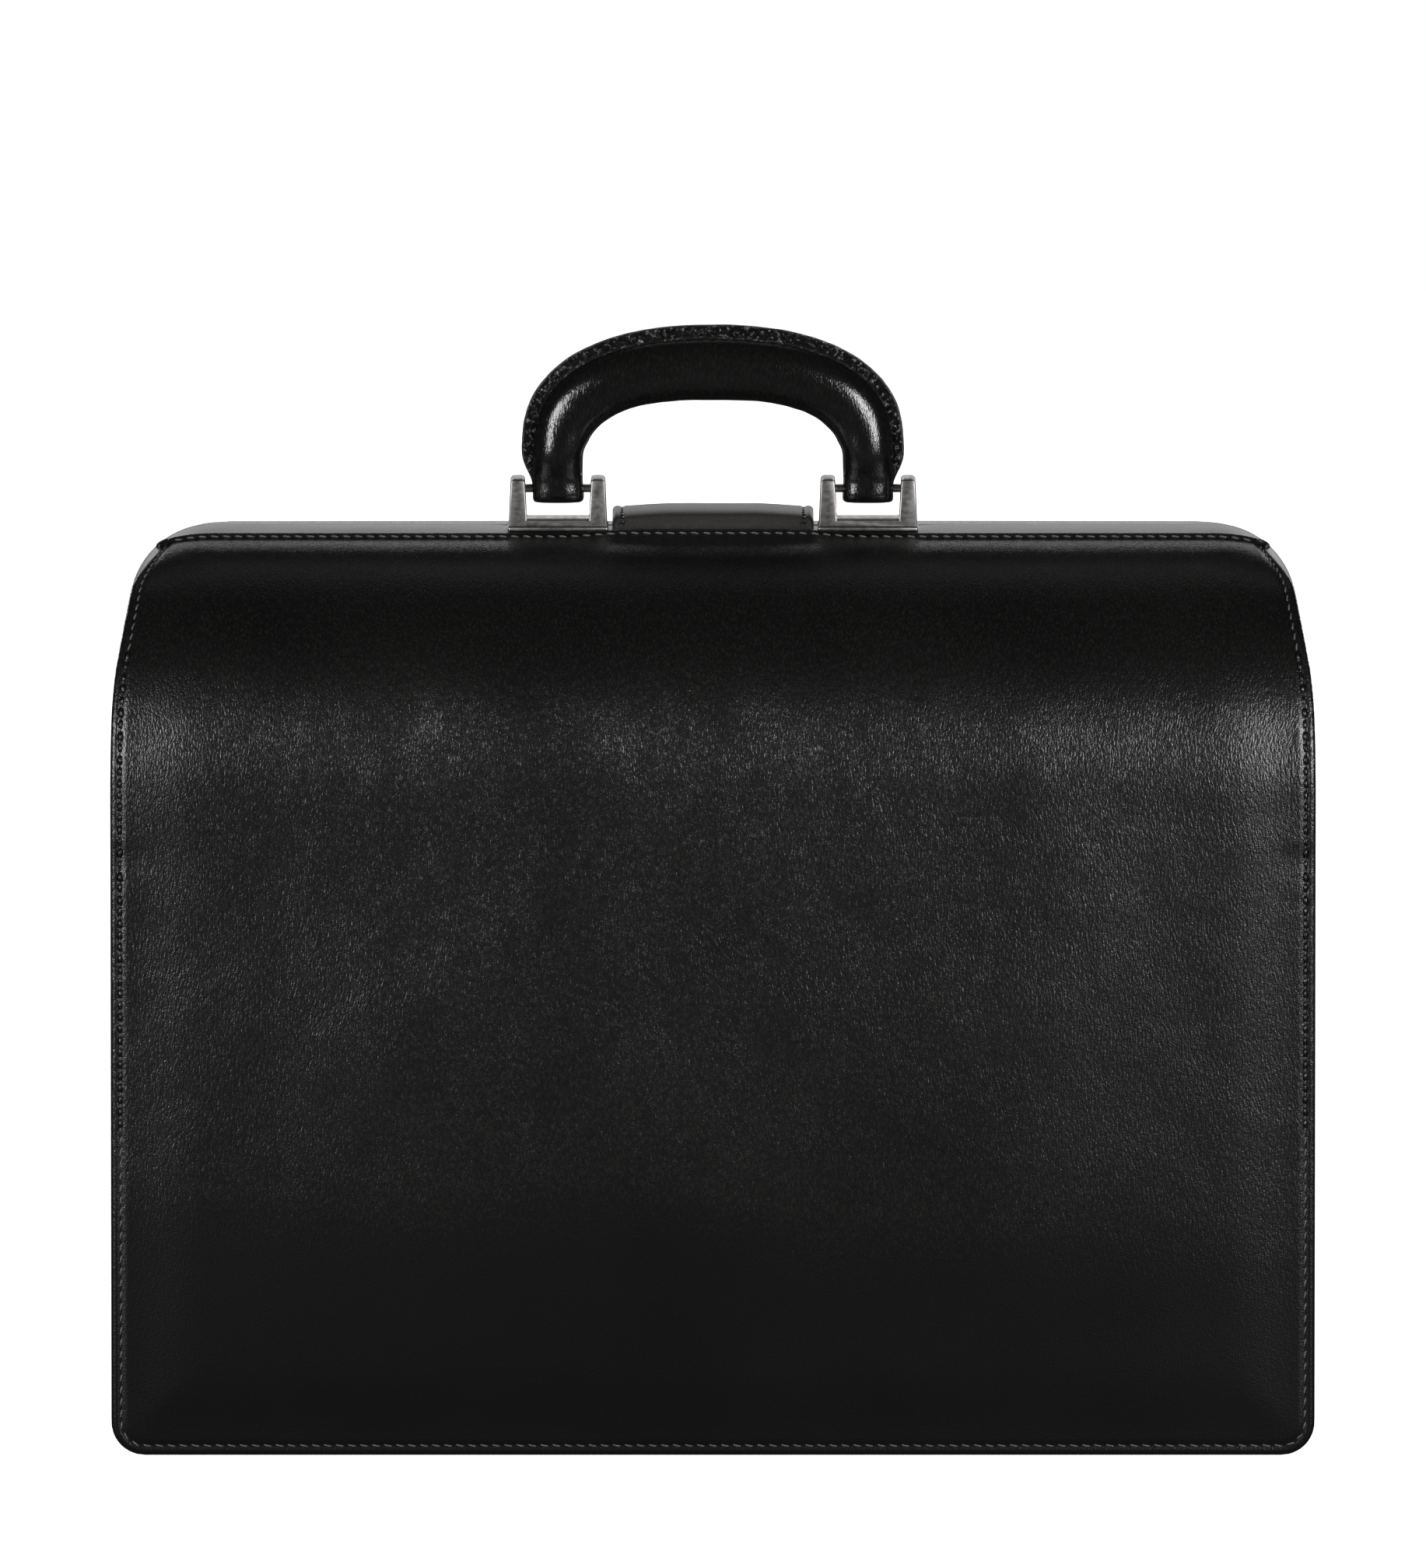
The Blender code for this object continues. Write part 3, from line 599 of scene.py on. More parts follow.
def stitch_mesh(runs, length, radius, lean):
    """Small pinched beads along each run. A run is a list of (place, outward normal) pairs."""
    points, faces = [], []
    for run in runs:
        for place, ahead, normal in spaced(run):
            across = ahead.cross(normal).normalized()
            ahead = (ahead + across * lean).normalized()
            across = ahead.cross(normal).normalized()
            start = len(points)
            for along, swell, lift in BEAD_RINGS:
                middle = place + ahead * along * length / 2.0 + normal * lift * radius
                points += circle(middle, across, normal, radius * swell, BEAD_SIDES)
            faces += grid_faces(len(BEAD_RINGS), BEAD_SIDES, start, closed_cols=True)
            for end in (start, len(points) - BEAD_SIDES):
                faces.append(tuple(end + i for i in range(BEAD_SIDES)))
    return points, faces


def spaced(run, pitch=STITCH_PITCH):
    """Evenly spaced (place, direction, normal) along a run."""
    places = [Vector(place) for place, _ in run]
    lengths = [0.0]
    for near, far in zip(places, places[1:]):
        lengths.append(lengths[-1] + (far - near).length)
    count = max(1, round(lengths[-1] / pitch))
    found = []
    k = 0
    for i in range(count):
        want = (i + 0.5) * lengths[-1] / count
        while k < len(lengths) - 2 and lengths[k + 1] < want:
            k += 1
        share = (want - lengths[k]) / max(lengths[k + 1] - lengths[k], TINY)
        ahead = (places[k + 1] - places[k]).normalized()
        normal = Vector(run[k][1]).lerp(Vector(run[k + 1][1]), share)
        normal = (normal - ahead * normal.dot(ahead)).normalized()
        found.append((places[k].lerp(places[k + 1], share), ahead, normal))
    return found


def stitches(name, runs, body, length=3.0, radius=0.34, lean=0.22, material=THREAD):
    points, faces = stitch_mesh(runs, length, radius, lean)
    return piece(name, points, faces, [material], body, "black_leather", smooth_angle=80.0)


def panel_normal(x, s, half, seed):
    """The outward direction of a panel's face, from two short steps along it."""
    step = 1.2
    here = Vector(panel_point(x, s, half, 0.0, seed))
    along = Vector(panel_point(x + step, s, half, 0.0, seed)) - here
    up = Vector(panel_point(x, s + step, half, 0.0, seed)) - here
    return along.cross(up).normalized() * (-half)


def on_panel(line, half, lift, seed):
    """A run of (place, normal) pairs from (x, s) places on a panel."""
    return [(panel_point(x, s, half, lift, seed), panel_normal(x, s, half, seed)) for x, s in line]


def panel_border(half, seed):
    """The stitch lines round a panel: down one side, along the floor and up the other, and the top."""
    radius = CORNER_RADIUS - STITCH_INSET
    straight = HALF_WIDTH - CORNER_RADIUS
    right = [(straight + radius * s, CORNER_RADIUS - radius * c) for c, s in arc(8)]
    for s in np.linspace(CORNER_RADIUS, PANEL_LENGTH - 6.0, 90)[1:]:
        right.append((side_at(s, half) - STITCH_INSET, s))
    left = [(-x, s) for x, s in right]
    floor_run = [(x, STITCH_INSET) for x in np.linspace(-straight, straight, 60)]
    top_s = PANEL_LENGTH - STITCH_INSET
    top_x = half_width_at(top_s, half) - 5.0
    top = [(x, top_s) for x in np.linspace(-top_x, top_x, 90)]
    around = left[::-1] + floor_run[1:-1] + right
    return [on_panel(line, half, 0.12, seed) for line in (around, top)]


def puckers(name, half, seed):
    """The leather gathered between the stitches along both sides, up to where the shoulder curves."""
    runs = []
    for side in (-1, 1):
        heights = np.linspace(PUCKER_LOW, PUCKER_HIGH, 60)
        line = [(side * (side_at(s, half) - STITCH_INSET), s) for s in heights]
        runs.append(on_panel(line, half, 0.0, seed))
    return stitches(name, runs, None, length=3.9, radius=0.85, lean=0.0, material=LEATHER)


# ---- gusset


FLANGE_GAP = 1.3  # from a panel's inner face to the flange
FLANGE_WIDTH = 7.0  # from the panel's outline to the turn of the flange
FLANGE_EDGE = 0.5  # from the panel's outline to the flange's edge
STRIP_HALF = 8.0
STRIP_SECTION = (  # (share of the half width, height over the gusset's wall)
    (-1.0, -0.4), (-0.96, 0.7), (-0.8, 1.1), (-0.35, 1.25), (0.0, 1.1),
    (0.35, 1.25), (0.8, 1.1), (0.96, 0.7), (1.0, -0.4),
)


def gusset_wall(z):
    """x of the gusset's wall at a height. It stands out a little more below the frame."""
    return HALF_WIDTH - INSET + 1.3 * smooth(z, 190.0, 245.0)


def gusset_line(half):
    """Rows round the bag from the left top over the floor to the right top.

    Each row is (x, z) where the wall starts at the middle, (y, x, z) where it turns out, and the
    (x, z) of its flange's outer end.
    """
    right = []
    top_turn = math.radians(80.0)
    wall_top = COVER_TOP - 8.0
    for i in range(22):
        turn = top_turn * (1.0 - i / 22)
        y, z = shoulder(turn, -PANEL - FLANGE_GAP)
        length = length_at(turn)
        side = side_at(length, half)
        z -= corner_drop(side, length, half)
        near_z = SHOULDER_BASE + (wall_top - SHOULDER_BASE) * turn / top_turn
        near_x = FRAME_HALF_WIDTH - 1.2 - frame_sideways(near_z)
        root = (y, min(side - FLANGE_WIDTH, near_x + 1.0), z)
        right.append(((near_x, near_z), root, (side - FLANGE_EDGE, z)))
    flange_y = HALF_DEPTH - PANEL - FLANGE_GAP
    for z in np.linspace(SHOULDER_BASE, CORNER_RADIUS, 26):
        wall = gusset_wall(z)
        side = side_at(z, half)
        root = (flange_y, min(wall, side - FLANGE_WIDTH), z)
        right.append(((wall, z), root, (side - FLANGE_EDGE, z)))
    straight = HALF_WIDTH - CORNER_RADIUS
    inner, outer = CORNER_RADIUS - INSET, CORNER_RADIUS - FLANGE_EDGE
    for c, s in arc(8, 1):
        near = (straight + inner * c, CORNER_RADIUS - inner * s)
        right.append((near, (flange_y, *near), (straight + outer * c, CORNER_RADIUS - outer * s)))
    floor_rows = []
    for x in np.linspace(straight, -straight, 30)[1:-1]:
        floor_rows.append(((x, INSET), (flange_y, x, INSET), (x, FLANGE_EDGE)))
    left = [((-a[0], a[1]), (b[0], -b[1], b[2]), (-c[0], c[1])) for a, b, c in right]
    return left + floor_rows[::-1] + right[::-1]


def frame_sideways(z):
    """How far the frame's rounded corner lies inside its side at a height."""
    over = z - (COVER_TOP - FRAME_RADIUS)
    return arc_fall(min(max(over, 0.0), FRAME_RADIUS), FRAME_RADIUS)


def gusset_half(name, half, seed):
    """One half of the gusset, with its outer edge turned out into a flange behind the panel."""
    steps, turn_radius = 16, 3.0
    outer = []
    for (near_x, near_z), (far_y, far_x, far_z), end in gusset_line(half):
        # Both halves meet low down and part further up, where the frame's bars lie between them.
        start_y = 0.4 * smooth(near_z, 190.0, 230.0) + (HALF_FRAME - 1.5) * smooth(near_z, 250.0, 262.0)
        wall_out = Vector((end[0] - far_x, end[1] - far_z))
        reach = wall_out.length
        wall_out.normalize()
        row = []
        for i in range(steps + 1):
            share = i / steps
            y = start_y + (far_y - turn_radius - start_y) * share
            x = near_x + (far_x - near_x) * share
            z = near_z + (far_z - near_z) * share
            soft = math.sin(math.pi * share)
            sag = -1.8 * soft * smooth(z, 20.0, 90.0) + 0.8 * rough(x, y, z, 34.0, seed) * soft
            row.append((x + wall_out.x * sag, half * y, z + wall_out.y * sag))
        for c, s in arc(4, 1):
            y = far_y - turn_radius + turn_radius * s
            out = turn_radius * (1.0 - c)
            row.append((far_x + wall_out.x * out, half * y, far_z + wall_out.y * out))
        for share in (0.5, 1.0):
            out = turn_radius + (reach - turn_radius) * share
            row.append((far_x + wall_out.x * out, half * far_y, far_z + wall_out.y * out))
        outer.append(row)
    return sheet(name, outer, 2.0, [LEATHER, EDGE])


def sheet(name, grid, thickness, materials):
    """A leather sheet of even thickness, laid inside the given outer face."""
    array = np.array(grid)
    normal = np.cross(np.gradient(array, axis=0), np.gradient(array, axis=1))
    normal /= np.linalg.norm(normal, axis=2, keepdims=True) + TINY
    middle_row = len(grid) // 2
    from_inside = array[middle_row, 0] - np.array([0.0, 0.0, SHOULDER_BASE / 2.0])
    if np.dot(normal[middle_row, 0], from_inside) < 0:
        normal = -normal
    inner = array - normal * thickness
    return shell(name, array.tolist(), inner.tolist(), materials, None, "black_leather")


def fold_strip(name, side):
    """The leather strip over the gusset's middle, from the floor up to the hinge."""
    low, high = CORNER_RADIUS + STRIP_HALF, HINGE[2] + 9.0
    heights = [low + (high - low) * i / 60 for i in range(61)]
    rings = []
    for z in heights:
        end = min(min(z - low, high - z) / STRIP_HALF, 1.0)
        half = STRIP_HALF * math.sqrt(max(1.0 - (1.0 - end) ** 2, 0.02))
        rings.append([(side * (gusset_wall(z) + out), y * half, z) for y, out in STRIP_SECTION])
    tube(name, rings, [LEATHER], "bag_body", "black_leather")
    runs = []
    for y in (-5.6, 5.6):
        sewn = heights[4:-4]
        runs.append([((side * (gusset_wall(z) + 1.25), y, z), (side, 0.0, 0.0)) for z in sewn])
    stitches(f"{name}_stitches", runs, "bag_body", length=2.8)


# ---- frame covers


COVER_ACROSS = (0.15, 0.8, 1.8, 3.5, 6.0, 9.0, 12.0, 14.5, 16.2, HALF_FRAME + 1.2, HALF_FRAME + 2.2)
COVER_THICK = 2.2


def cover_path():
    """(x, z, outward x, outward z) along the frame, from the left hinge over the top to the right."""
    foot, head = HINGE[2] + 4.0, COVER_TOP - FRAME_RADIUS
    left = [(-FRAME_HALF_WIDTH, foot + (head - foot) * i / 10, -1.0, 0.0) for i in range(10)]
    for c, s in arc(18):
        left.append((-FRAME_STRAIGHT - FRAME_RADIUS * c, head + FRAME_RADIUS * s, -c, s))
    places = np.linspace(-FRAME_STRAIGHT, FRAME_STRAIGHT, 70)[1:-1]
    top = [(x, COVER_TOP, 0.0, 1.0) for x in places]
    return left + top + [(-x, z, -out_x, out_z) for x, z, out_x, out_z in left[::-1]]


def cover_lift(x, y, z, out_z, half):
    """Height of the cover's low dome, which is pressed flat under the brackets."""
    dome = 0.45 - (0.75 if half == BACK else 2.5) * (y / HALF_FRAME) ** 1.6
    if half == BACK:
        flat = max(smooth(abs(x - side * BRACKET_X), 21.0, 17.0) for side in (-1, 1)) * out_z
        dome = dome * (1.0 - flat) + min(dome, 0.1) * flat
    return dome * (0.35 + 0.65 * smooth(out_z, 0.0, 0.9)) + 0.12 * rough(x, y, z, 18.0, 2.0)


def frame_cover(name, half, body):
    """The polished leather over one half of the frame, narrower at the hinges."""
    outer, lower = [], []
    for x, z, out_x, out_z in cover_path():
        width = 0.45 + 0.55 * smooth(z, HINGE[2] + 3.0, HINGE[2] + 14.0)
        up_row, low_row = [], []
        for y in COVER_ACROSS:
            lift = cover_lift(x, y, z, out_z, half)
            y_here = half * (COVER_ACROSS[0] + (y - COVER_ACROSS[0]) * width)
            up_row.append((x + out_x * lift, y_here, z + out_z * lift))
            low_row.append((x - out_x * COVER_THICK, y_here, z - out_z * COVER_THICK))
        outer.append(up_row)
        lower.append(low_row)
    obj = shell(name, outer, lower, [COVER_LEATHER], body, "frame_leather")
    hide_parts(f"{HALF_WORDS[half]}_frame_cover")
    return obj


# ---- handle

GRIP_INNER = (46.5, 341.5, 27.9, 2.8)  # half span, base height, rise, squareness
GRIP_OUTER = (68.3, 354.6, 42.2, 2.28)
GRIP_FOOT = (  # (z, inner x, outer x, half depth, rim height)
    (332.2, 47.6, 63.2, 1.8, 0.0), (332.9, 46.5, 64.3, 4.4, 0.0), (334.2, 46.1, 64.6, 5.8, 0.0),
    (336.6, 46.3, 64.4, 6.1, 0.0), (339.4, 46.5, 64.6, 6.0, 0.1), (341.8, 46.5, 65.4, 6.2, 0.9),
    (344.6, 46.5, 67.0, 7.2, 2.5), (348.0, 46.5, 68.2, 8.3, 3.8), (351.4, 46.4, 68.6, 8.9, 4.3),
)
GRIP_RIM = 4.4
GRIP_STEPS = 22
GRIP_OPEN = math.radians(13.0)  # half of the angle that the padding leaves open for the rim
GRIP_SQUARE = 0.68  # below 1 the padding bulges towards a box


def arch(form, turn):
    """A point on a rounded arch. Turn runs from 0 at the left foot to pi at the right."""
    half, base, rise, power = form
    c, s = -math.cos(turn), math.sin(turn)
    x = math.copysign(abs(c) ** (2.0 / power), c) * half
    return Vector((x, base + rise * max(s, 0.0) ** (2.0 / power)))


def grip_sections():
    """(inner point, outer point, half depth, rim height) for each section from foot to foot."""
    foot = []
    for z, inner_x, outer_x, depth, rim in GRIP_FOOT:
        foot.append((Vector((-inner_x, z)), Vector((-outer_x, z)), depth, rim))
    sections = list(foot)
    steps = 64
    for i in range(steps + 1):
        share = i / steps
        turn_in = math.pi * (0.11 + 0.78 * share)
        turn_out = math.pi * (0.03 + 0.94 * share)
        depth = 9.0 + 0.6 * smooth(min(share, 1.0 - share), 0.0, 0.25)
        sections.append((arch(GRIP_INNER, turn_in), arch(GRIP_OUTER, turn_out), depth, GRIP_RIM))
    for inner, outer, depth, rim in foot[::-1]:
        sections.append((Vector((-inner.x, inner.y)), Vector((-outer.x, outer.y)), depth, rim))
    return sections


def grip_outline(span, depth, rim):
    """(distance from the inner side, y, whether it is on the rim) round a section of the grip."""
    outline = []
    for i in range(GRIP_STEPS + 1):
        turn = GRIP_OPEN + 2.0 * (math.pi - GRIP_OPEN) * i / GRIP_STEPS
        along, s = (span - rim) / 2.0 * (1.0 + math.cos(turn)), math.sin(turn)
        outline.append((along, math.copysign(abs(s) ** GRIP_SQUARE, s) * depth, False))
    formed = min(rim / 2.0, 1.0)
    half_rim = min(2.4, depth * 0.4) * formed + 0.8 * depth * 0.4 * (1.0 - formed)
    edge = [(rim * 0.86, 0.62), (rim * 0.50, 1.0), (rim * 0.12 + 0.1, 0.92), (0.0, 0.4)]
    outline += [(span - down, -half_rim * share, True) for down, share in edge]
    return outline + [(span - down, half_rim * share, True) for down, share in edge[::-1]]


def grip_ring(inner, outer, depth, rim):
    """A padded section with a pinched sewn rim on its outer side, and fine wrinkles."""
    out = outer - inner
    span = out.length
    out.normalize()
    centre = inner + out * ((span - rim) / 2.0)
    ring = []
    for along, y, on_rim in grip_outline(span, depth, rim):
        place = inner + out * along
        if on_rim:
            wrinkle = 0.30 * rough(place.x * 1.5, y, place.y * 1.5, 4.0, 5.0)
        else:
            low = smooth(along / max(span, 1.0), 0.55, 0.05)
            wrinkle = 0.22 * low * rough(place.x * 3.2, y * 0.5, place.y * 1.2, 9.0, 3.0)
            wrinkle += 0.18 * rough(place.x, y, place.y, 11.0, 7.0)
        away = Vector((place.x - centre.x, y, place.y - centre.y)).normalized() * wrinkle
        ring.append((place.x + away.x, HANDLE_PIN[1] + y + away.y, place.y + away.z))
    return ring


def handle():
    """The padded grip with its sewn rim, and the thread along the rim on both faces."""
    sections = grip_sections()
    rings = [grip_ring(*section) for section in sections]
    picks = [0] * GRIP_STEPS + [1] * (len(rings[0]) - GRIP_STEPS)
    picks *= len(rings) - 1
    obj = tube("handle_wrap", rings, [HANDLE_LEATHER, RIM_LEATHER], "handle", "black_leather", picks)
    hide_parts("handle_grip", "handle_loop_left", "handle_loop_right")
    subdivide(obj, 1)
    runs = []
    for face in (-1, 1):
        run = []
        for inner, outer, depth, rim in sections[12:-12]:
            place = outer - (outer - inner).normalized() * (rim * 0.40 + 0.3)
            y = HANDLE_PIN[1] + face * (min(2.4, depth * 0.4) + 0.25)
            run.append(((place.x, y, place.y), (0.0, face, 0.0)))
        runs.append(run)
    stitches("handle_stitches", runs, "handle", 2.4, 0.28, 0.22, RIM_LEATHER)


def subdivide(obj, levels):
    """Smooths a piece by subdivision and keeps the result as its mesh."""
    modifier = obj.modifiers.new("Smooth", "SUBSURF")
    modifier.levels = levels
    modifier.render_levels = levels
    bpy.context.view_layer.update()
    evaluated = obj.evaluated_get(bpy.context.evaluated_depsgraph_get())
    mesh = bpy.data.meshes.new_from_object(evaluated)
    obj.modifiers.clear()
    obj.data = mesh


# ---- metal parts


def bevelled(name, bm, material, body, width, segments=3):
    """A metal piece with rounded edges, from a bmesh in bag millimetres."""
    bmesh.ops.recalc_face_normals(bm, faces=bm.faces)
    sharp = [edge for edge in bm.edges if edge.calc_face_angle(0.0) > math.radians(30.0)]
    bmesh.ops.bevel(
        bm, geom=sharp, offset=width, segments=segments, profile=0.5, affect="EDGES", clamp_overlap=True
    )
    for vert in bm.verts:
        vert.co = to_frame(vert.co)
    mesh = bpy.data.meshes.new(name)
    bm.to_mesh(mesh)
    bm.free()
    mesh.materials.append(material)
    mesh.shade_smooth()
    mesh.set_sharp_from_angle(angle=math.radians(40.0))
    return placed(name, mesh, body)


def slab(bm, low, high):
    made = bmesh.ops.create_cube(bm, size=1.0)
    for vert in made["verts"]:
        for axis in range(3):
            vert.co[axis] = low[axis] + (high[axis] - low[axis]) * (vert.co[axis] + 0.5)


def join_rings(bm, near, far):
    """Closes a solid between two matching rings of vertices."""
    bm.faces.new(near)
    bm.faces.new(far)
    for i in range(len(near)):
        j = (i + 1) % len(near)
        bm.faces.new((near[i], near[j], far[j], far[i]))


def extruded(bm, outline, low, high):
    """An outline in X and Z pushed from y low to y high."""
    near = [bm.verts.new((x, low, z)) for x, z in outline]
    far = [bm.verts.new((x, high, z)) for x, z in outline]
    join_rings(bm, near, far)


def bracket(name):
    """A U-shaped bracket with tapered legs and chamfered leg tops, on its base plate."""
    low, high = size_mm(name)
    middle, y = (low[0] + high[0]) / 2.0, (low[1] + high[1]) / 2.0
    foot, head = (high[0] - low[0]) / 2.0 - 0.35, (high[0] - low[0]) / 2.0 - 1.0
    leg_foot, leg_head, half_depth = 6.5, 5.2, 6.2
    crossbar = low[2] + 4.2
    right = [(foot, low[2] + 1.0), (head, high[2] - 0.9), (head - 0.9, high[2])]
    right += [(head - leg_head + 0.7, high[2]), (head - leg_head, high[2] - 0.7)]
    right += [(foot - leg_foot, crossbar)]
    outline = right + [(-x, z) for x, z in right[::-1]]
    bm = bmesh.new()
    extruded(bm, [(middle + x, z) for x, z in outline], y - half_depth, y + half_depth)
    obj = bevelled(f"{name}_body", bm, NICKEL, "back_frame", 0.5)
    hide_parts(name)
    bm = bmesh.new()
    slab(bm, low, (high[0], high[1], low[2] + 2.0))
    bevelled(f"{name}_base", bm, NICKEL, "back_frame", 0.7)


def lock_case():
    """The lock's case: a front with two side walls, open behind."""
    low, high = size_mm("lock_case")
    wall = 1.5
    outline = [(low[0], low[1]), (low[0], high[1]), (high[0], high[1]), (high[0], low[1])]
    outline += [(high[0] - wall, low[1]), (high[0] - wall, high[1] - wall)]
    outline += [(low[0] + wall, high[1] - wall), (low[0] + wall, low[1])]
    bm = bmesh.new()
    rings = [[bm.verts.new((x, y, z)) for x, y in outline] for z in (low[2], high[2])]
    join_rings(bm, *rings)
    obj = bevelled("lock_case_shell", bm, NICKEL, "strap_end", 0.9)
    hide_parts("lock_case")


# ---- strap

STRAP_HALF = 36.0
STRAP_CLEAR = 1.8  # from the front panel to the strap's lower face
STRAP_TONGUE = 228.0  # height of its lower end
STRAP_ROOT = (-15.6, 319.8)  # (y, z) of the strap's end behind the back panel


def strap_line():
    """(place, normal) pairs in Y and Z along the strap's lower face, from the back panel to the lock."""
    crest = COVER_TOP + 2.6
    root_y, root_z = STRAP_ROOT
    points = [Vector((root_y * c, root_z + (crest - root_z) * s)) for c, s in arc(9)[:-1]]
    points += [Vector((y, crest - 0.0035 * y * y)) for y in (0.0, 4.5, 9.0, 13.5)]
    first = math.radians(82.0)
    points += [Vector(shoulder(first * (1.0 - i / 33), STRAP_CLEAR)) for i in range(34)]
    heights = np.linspace(SHOULDER_BASE - 2.0, STRAP_TONGUE, 6)
    points += [Vector((HALF_DEPTH + STRAP_CLEAR, z)) for z in heights]
    line = []
    for i, point in enumerate(points):
        ahead = points[min(i + 1, len(points) - 1)] - points[max(i - 1, 0)]
        ahead.normalize()
        line.append((point, Vector((-ahead.y, ahead.x))))
    return line


def strap_height(x, inset, k, point):
    """Thickness of the strap: turned edges, a sewn groove, and thinner where it is tucked in."""
    height = 3.5 + 0.9 * smooth(inset, 3.0, 20.0)
    height -= 1.1 * math.exp(-inset / 0.5)
    height -= 0.5 * math.exp(-((inset - STITCH_INSET) / 0.8) ** 2)
    height += 0.10 * rough(x, point.x, point.y, 14.0, 8.0)
    height -= 0.8 * smooth(k, 16.0, 8.0)
    return height * (0.30 + 0.70 * smooth(k, 2.0, 6.0))


def strap_place(x, k, line, height):
    """A place over the strap's lower face, at its row k."""
    point, normal = line[k]
    return (x, point.x + normal.x * height, point.y + normal.y * height)


def strap():
    """The closing strap with its turned edges, from behind the back panel to the lock."""
    across = [-1.0, -0.985, -0.965, -0.94, -0.905, -0.87, -0.8, -0.65, -0.45, -0.22, 0.0]
    across += [-share for share in across[-2::-1]]
    line = strap_line()
    last = len(line) - 1
    halves = [STRAP_HALF * (0.62 + 0.38 * smooth(k, last, last - 6)) for k in range(len(line))]
    upper, lower = [], []
    for k, half in enumerate(halves):
        places = [share * half for share in across]
        lower.append([strap_place(x, k, line, 0.0) for x in places])
        heights = [strap_height(x, half - abs(x), k, line[k][0]) for x in places]
        upper.append([strap_place(x, k, line, height) for x, height in zip(places, heights)])
    obj = shell("strap_leather", upper, lower, [STRAP_LEATHER, EDGE], None, "black_leather")
    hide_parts("strap_top", "strap_flap")
    runs = []
    for side in (-1, 1):
        run = []
        for k in range(3, last - 1):
            normal = line[k][1]
            x = side * (halves[k] - STITCH_INSET)
            run.append((strap_place(x, k, line, 2.25), (0.0, normal.x, normal.y)))
        runs.append(run)
    threads = stitches("strap_stitches", runs, None, 3.0, 0.42, 0.5, LEATHER)
    for made in (obj, threads):
        bend_strap(made)


def bend_strap(obj):
    """Bakes a strap piece's placement into its mesh."""
    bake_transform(obj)


# ---- small leather parts


KNOT_RADIUS = 1.35
KNOT_RINGS = ((-2.9, 0.3), (-2.3, 0.8), (-0.8, 1.0), (0.8, 1.0), (2.1, 0.75), (2.6, 0.3))


def corner_knots():
    """The rolled ends of the piping at each panel's top corners."""
    for half, word in HALF_WORDS.items():
        corner = half_width_at(PANEL_LENGTH - TOP_RADIUS, half) - 1.8
        for side, side_word in ((-1, "left"), (1, "right")):
            base = Vector(panel_point(side * corner, PANEL_LENGTH - 3.5, half, -0.4, 1.0))
            ahead = Vector((side * 0.85, half * 0.30, -0.42)).normalized()
            across = ahead.cross(Vector((0.0, half * 0.25, 1.0))).normalized()
            up = across.cross(ahead).normalized()
            rings = []
            for along, swell in KNOT_RINGS:
                rings.append(circle(base + ahead * along, across, up, swell * KNOT_RADIUS, 12))
            name = f"{word}_corner_knot_{side_word}"
            tube(name, rings, [RIM_LEATHER], f"{word}_frame", "black_leather")


# ---- assembly


def dress_frame():
    """Materials for the CAD nodes that stay in view."""
    looks = {
        "frame_bar": STEEL, "backing_plate": STEEL, "hinge_pin": BRIGHT, "bracket_rivet": NICKEL,
        "handle_pin": BRIGHT, "handle_core": FELT, "lock": NICKEL, "board": BOARD,
        "stiffener": BOARD, "lining": LINING, "gusset": LEATHER, "panel": LEATHER, "strap": LEATHER,
        "handle": LEATHER, "cover": COVER_LEATHER, "bracket": NICKEL,
    }
    for name, obj in frame["nodes"].items():
        for key, material in looks.items():
            if key in name:
                for slot in obj.material_slots:
                    slot.material = material
                break


def leather_parts():
    """Panels, gusset and frame covers: the leather of each half of the bag."""
    for (half, word), seed in zip(HALF_WORDS.items(), (1.0, 6.0)):
        body = f"{word}_frame"
        leather_panel(f"{word}_panel", half, seed)
        bend(stitches(f"{word}_panel_stitches", panel_border(half, seed), None))
        bend(puckers(f"{word}_panel_puckers", half, seed))
        gusset = gusset_half(f"{word}_gusset", half, seed)
        names = [f"{word}_left_gusset_upper", f"{word}_right_gusset_upper"]
        if half == BACK:
            names += ["left_gusset", "right_gusset", "base_gusset"]
        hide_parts(*names)
        bend(gusset)
        frame_cover(f"{word}_cover", half, body)
    fold_strip("left_gusset_strip", -1)
    fold_strip("right_gusset_strip", 1)


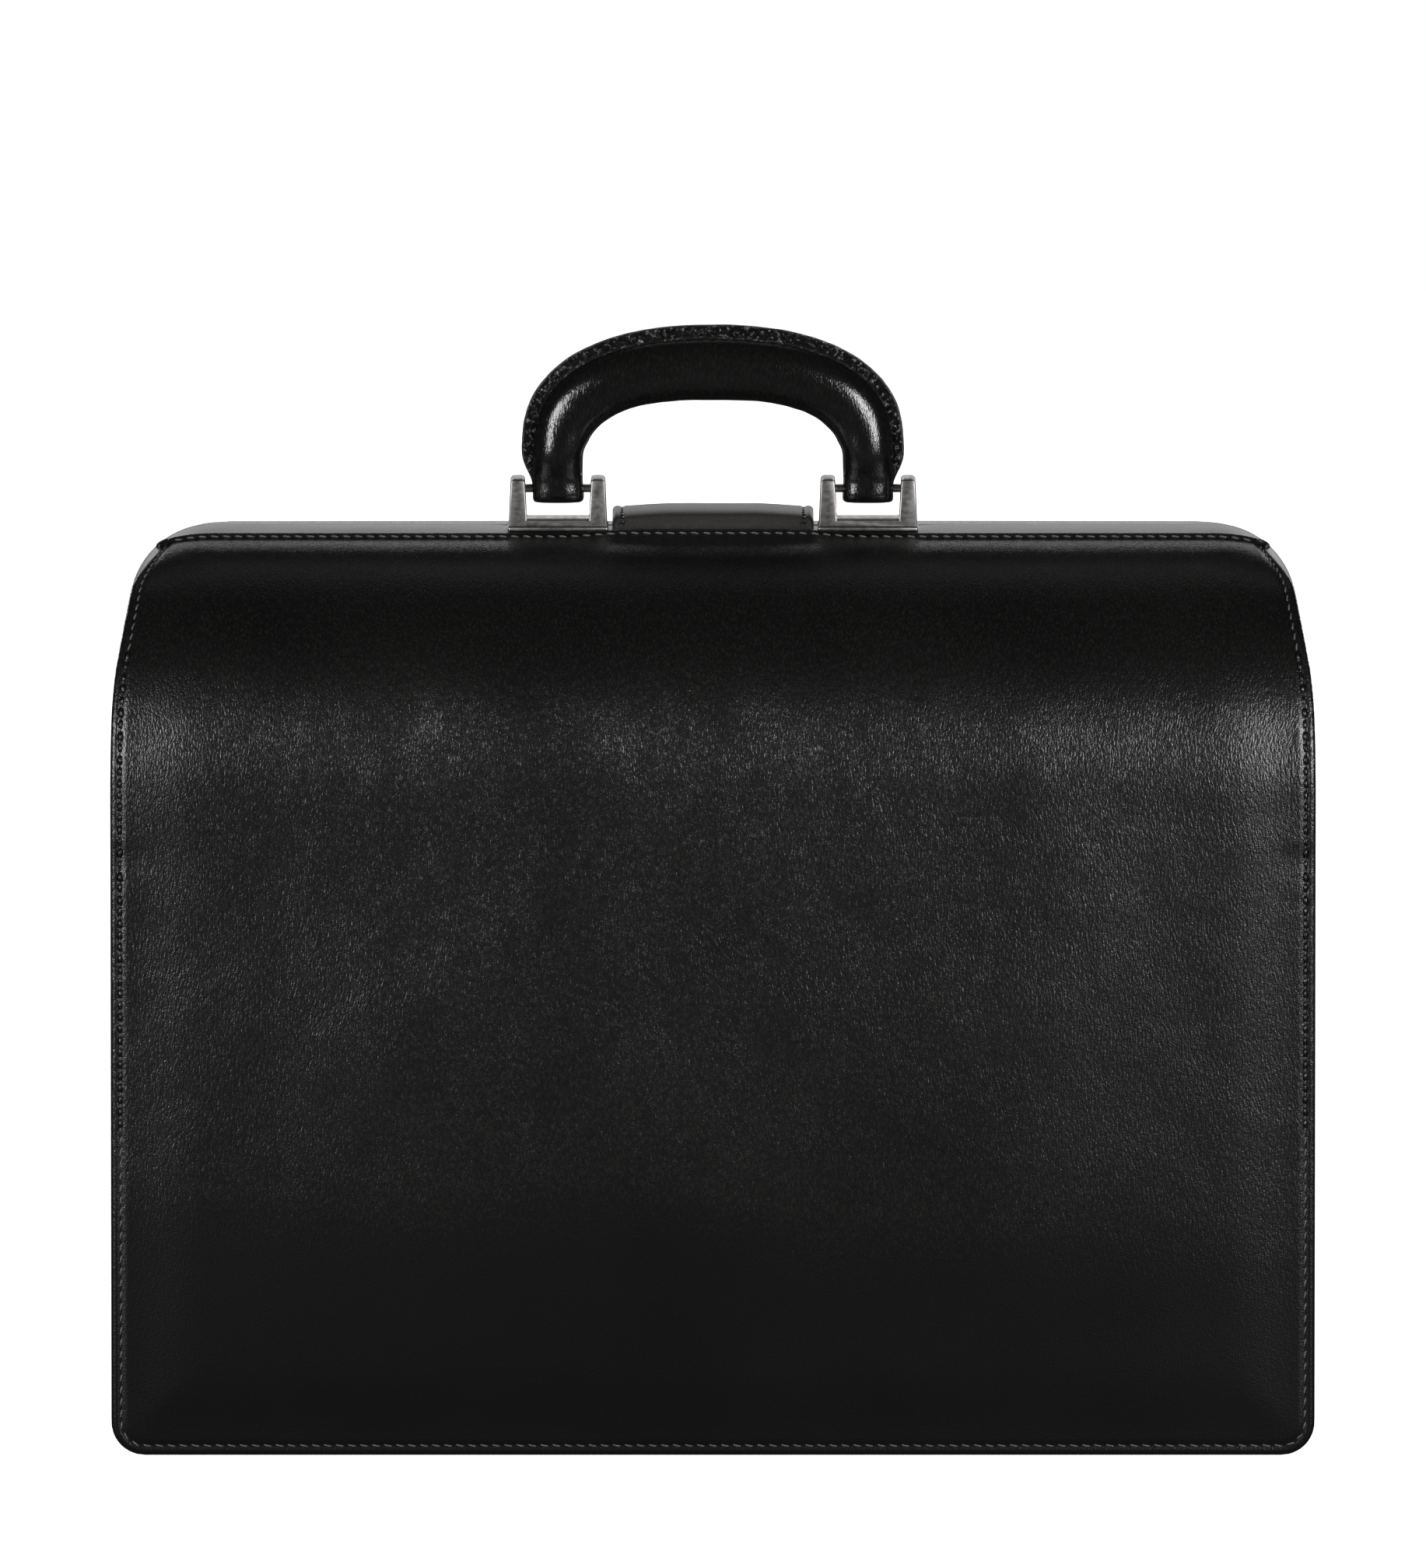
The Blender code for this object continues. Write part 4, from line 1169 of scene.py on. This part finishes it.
def studio():
    """A plain pale floor and soft boxes. Only the camera sees the floor and the backdrop as bright."""
    bm = bmesh.new()
    bmesh.ops.create_grid(bm, x_segments=1, y_segments=1, size=30.0)
    mesh = bpy.data.meshes.new("floor")
    bm.to_mesh(mesh)
    bm.free()
    floor = bpy.data.objects.new("floor", mesh)
    floor.location.z = -0.0005
    bpy.context.collection.objects.link(floor)
    n = Nodes("pale_floor")
    seen = n.add("ShaderNodeLightPath").outputs["Is Camera Ray"]
    pale = n.mix(n.noise(2.0, 1.0), grey(0.86), grey(0.88))
    n.finish(base_color=n.mix(seen, grey(0.05), pale), roughness=1.0, specular_ior_level=0.0)
    n.shader.inputs["Emission Color"].default_value = grey(1.0)
    n.tree.links.new(n.ramp(seen, 0.0, 1.0, 0.045, 0.98), n.shader.inputs["Emission Strength"])
    mesh.materials.append(n.material)
    softbox("top_light", (0.0, 0.9, 2.4), (0.0, 0.0, 0.2), (1.2, 0.5), 0.6)
    softbox("left_light", (-0.82, -1.05, 0.45), (-0.1, 0.0, 0.25), (0.28, 0.68), 11.5)
    softbox("right_light", (0.77, -1.15, 0.50), (0.1, 0.0, 0.25), (0.34, 0.60), 13.2)
    softbox("right_low_light", (0.68, -1.15, 0.13), (0.1, 0.0, 0.2), (0.34, 0.16), 0.5)
    softbox("back_light", (0.0, 2.6, 0.84), (0.0, 0.0, 0.3), (3.2, 0.67), 11.5)
    softbox("lock_side_left", (1.3, 1.5, 0.6), (0.0, 0.0, 0.2), (0.5, 0.9), 12.0)
    softbox("lock_side_right", (-1.3, 1.5, 0.6), (0.0, 0.0, 0.2), (0.5, 0.9), 8.0)
    world = bpy.data.worlds.new("studio")
    bpy.context.scene.world = world
    world.use_nodes = True
    tree = world.node_tree
    seen = tree.nodes.new("ShaderNodeLightPath").outputs["Is Camera Ray"]
    strength = tree.nodes.new("ShaderNodeMapRange")
    tree.links.new(seen, strength.inputs["Value"])
    strength.inputs["To Min"].default_value = 0.03
    strength.inputs["To Max"].default_value = 1.0
    background = tree.nodes["Background"]
    background.inputs["Color"].default_value = (1.0, 1.0, 1.0, 1.0)
    tree.links.new(strength.outputs["Result"], background.inputs["Strength"])


def softbox(name, place, target, size, power):
    light = bpy.data.lights.new(name, "AREA")
    light.shape = "RECTANGLE"
    light.size, light.size_y = size
    light.energy = power
    obj = bpy.data.objects.new(name, light)
    obj.location = place
    direction = Vector(target) - Vector(place)
    obj.rotation_euler = direction.to_track_quat("-Z", "Y").to_euler()
    obj.visible_camera = False
    bpy.context.collection.objects.link(obj)


def camera():
    """The bag seen square on from behind and a little above."""
    elevation = math.radians(9.0)
    distance = 16.0
    picture_height = 0.5592
    target = Vector(to_frame((0.0, -HALF_DEPTH, 243.0)))
    data = bpy.data.cameras.new("camera")
    data.sensor_fit = "VERTICAL"
    data.sensor_height = 24.0
    data.lens = data.sensor_height * distance / picture_height
    data.clip_end = 200.0
    obj = bpy.data.objects.new("camera", data)
    away = Vector((0.0, -math.cos(elevation), math.sin(elevation)))
    obj.location = target + away * distance
    obj.rotation_euler = (-away).to_track_quat("-Z", "Y").to_euler()
    bpy.context.collection.objects.link(obj)
    bpy.context.scene.camera = obj


dress_frame()
leather_parts()
handle()
for side_name in ("left", "right"):
    bracket(f"bracket_{side_name}")
strap()
lock_case()
corner_knots()
studio()
camera()
bpy.context.scene.view_settings.view_transform = "Standard"
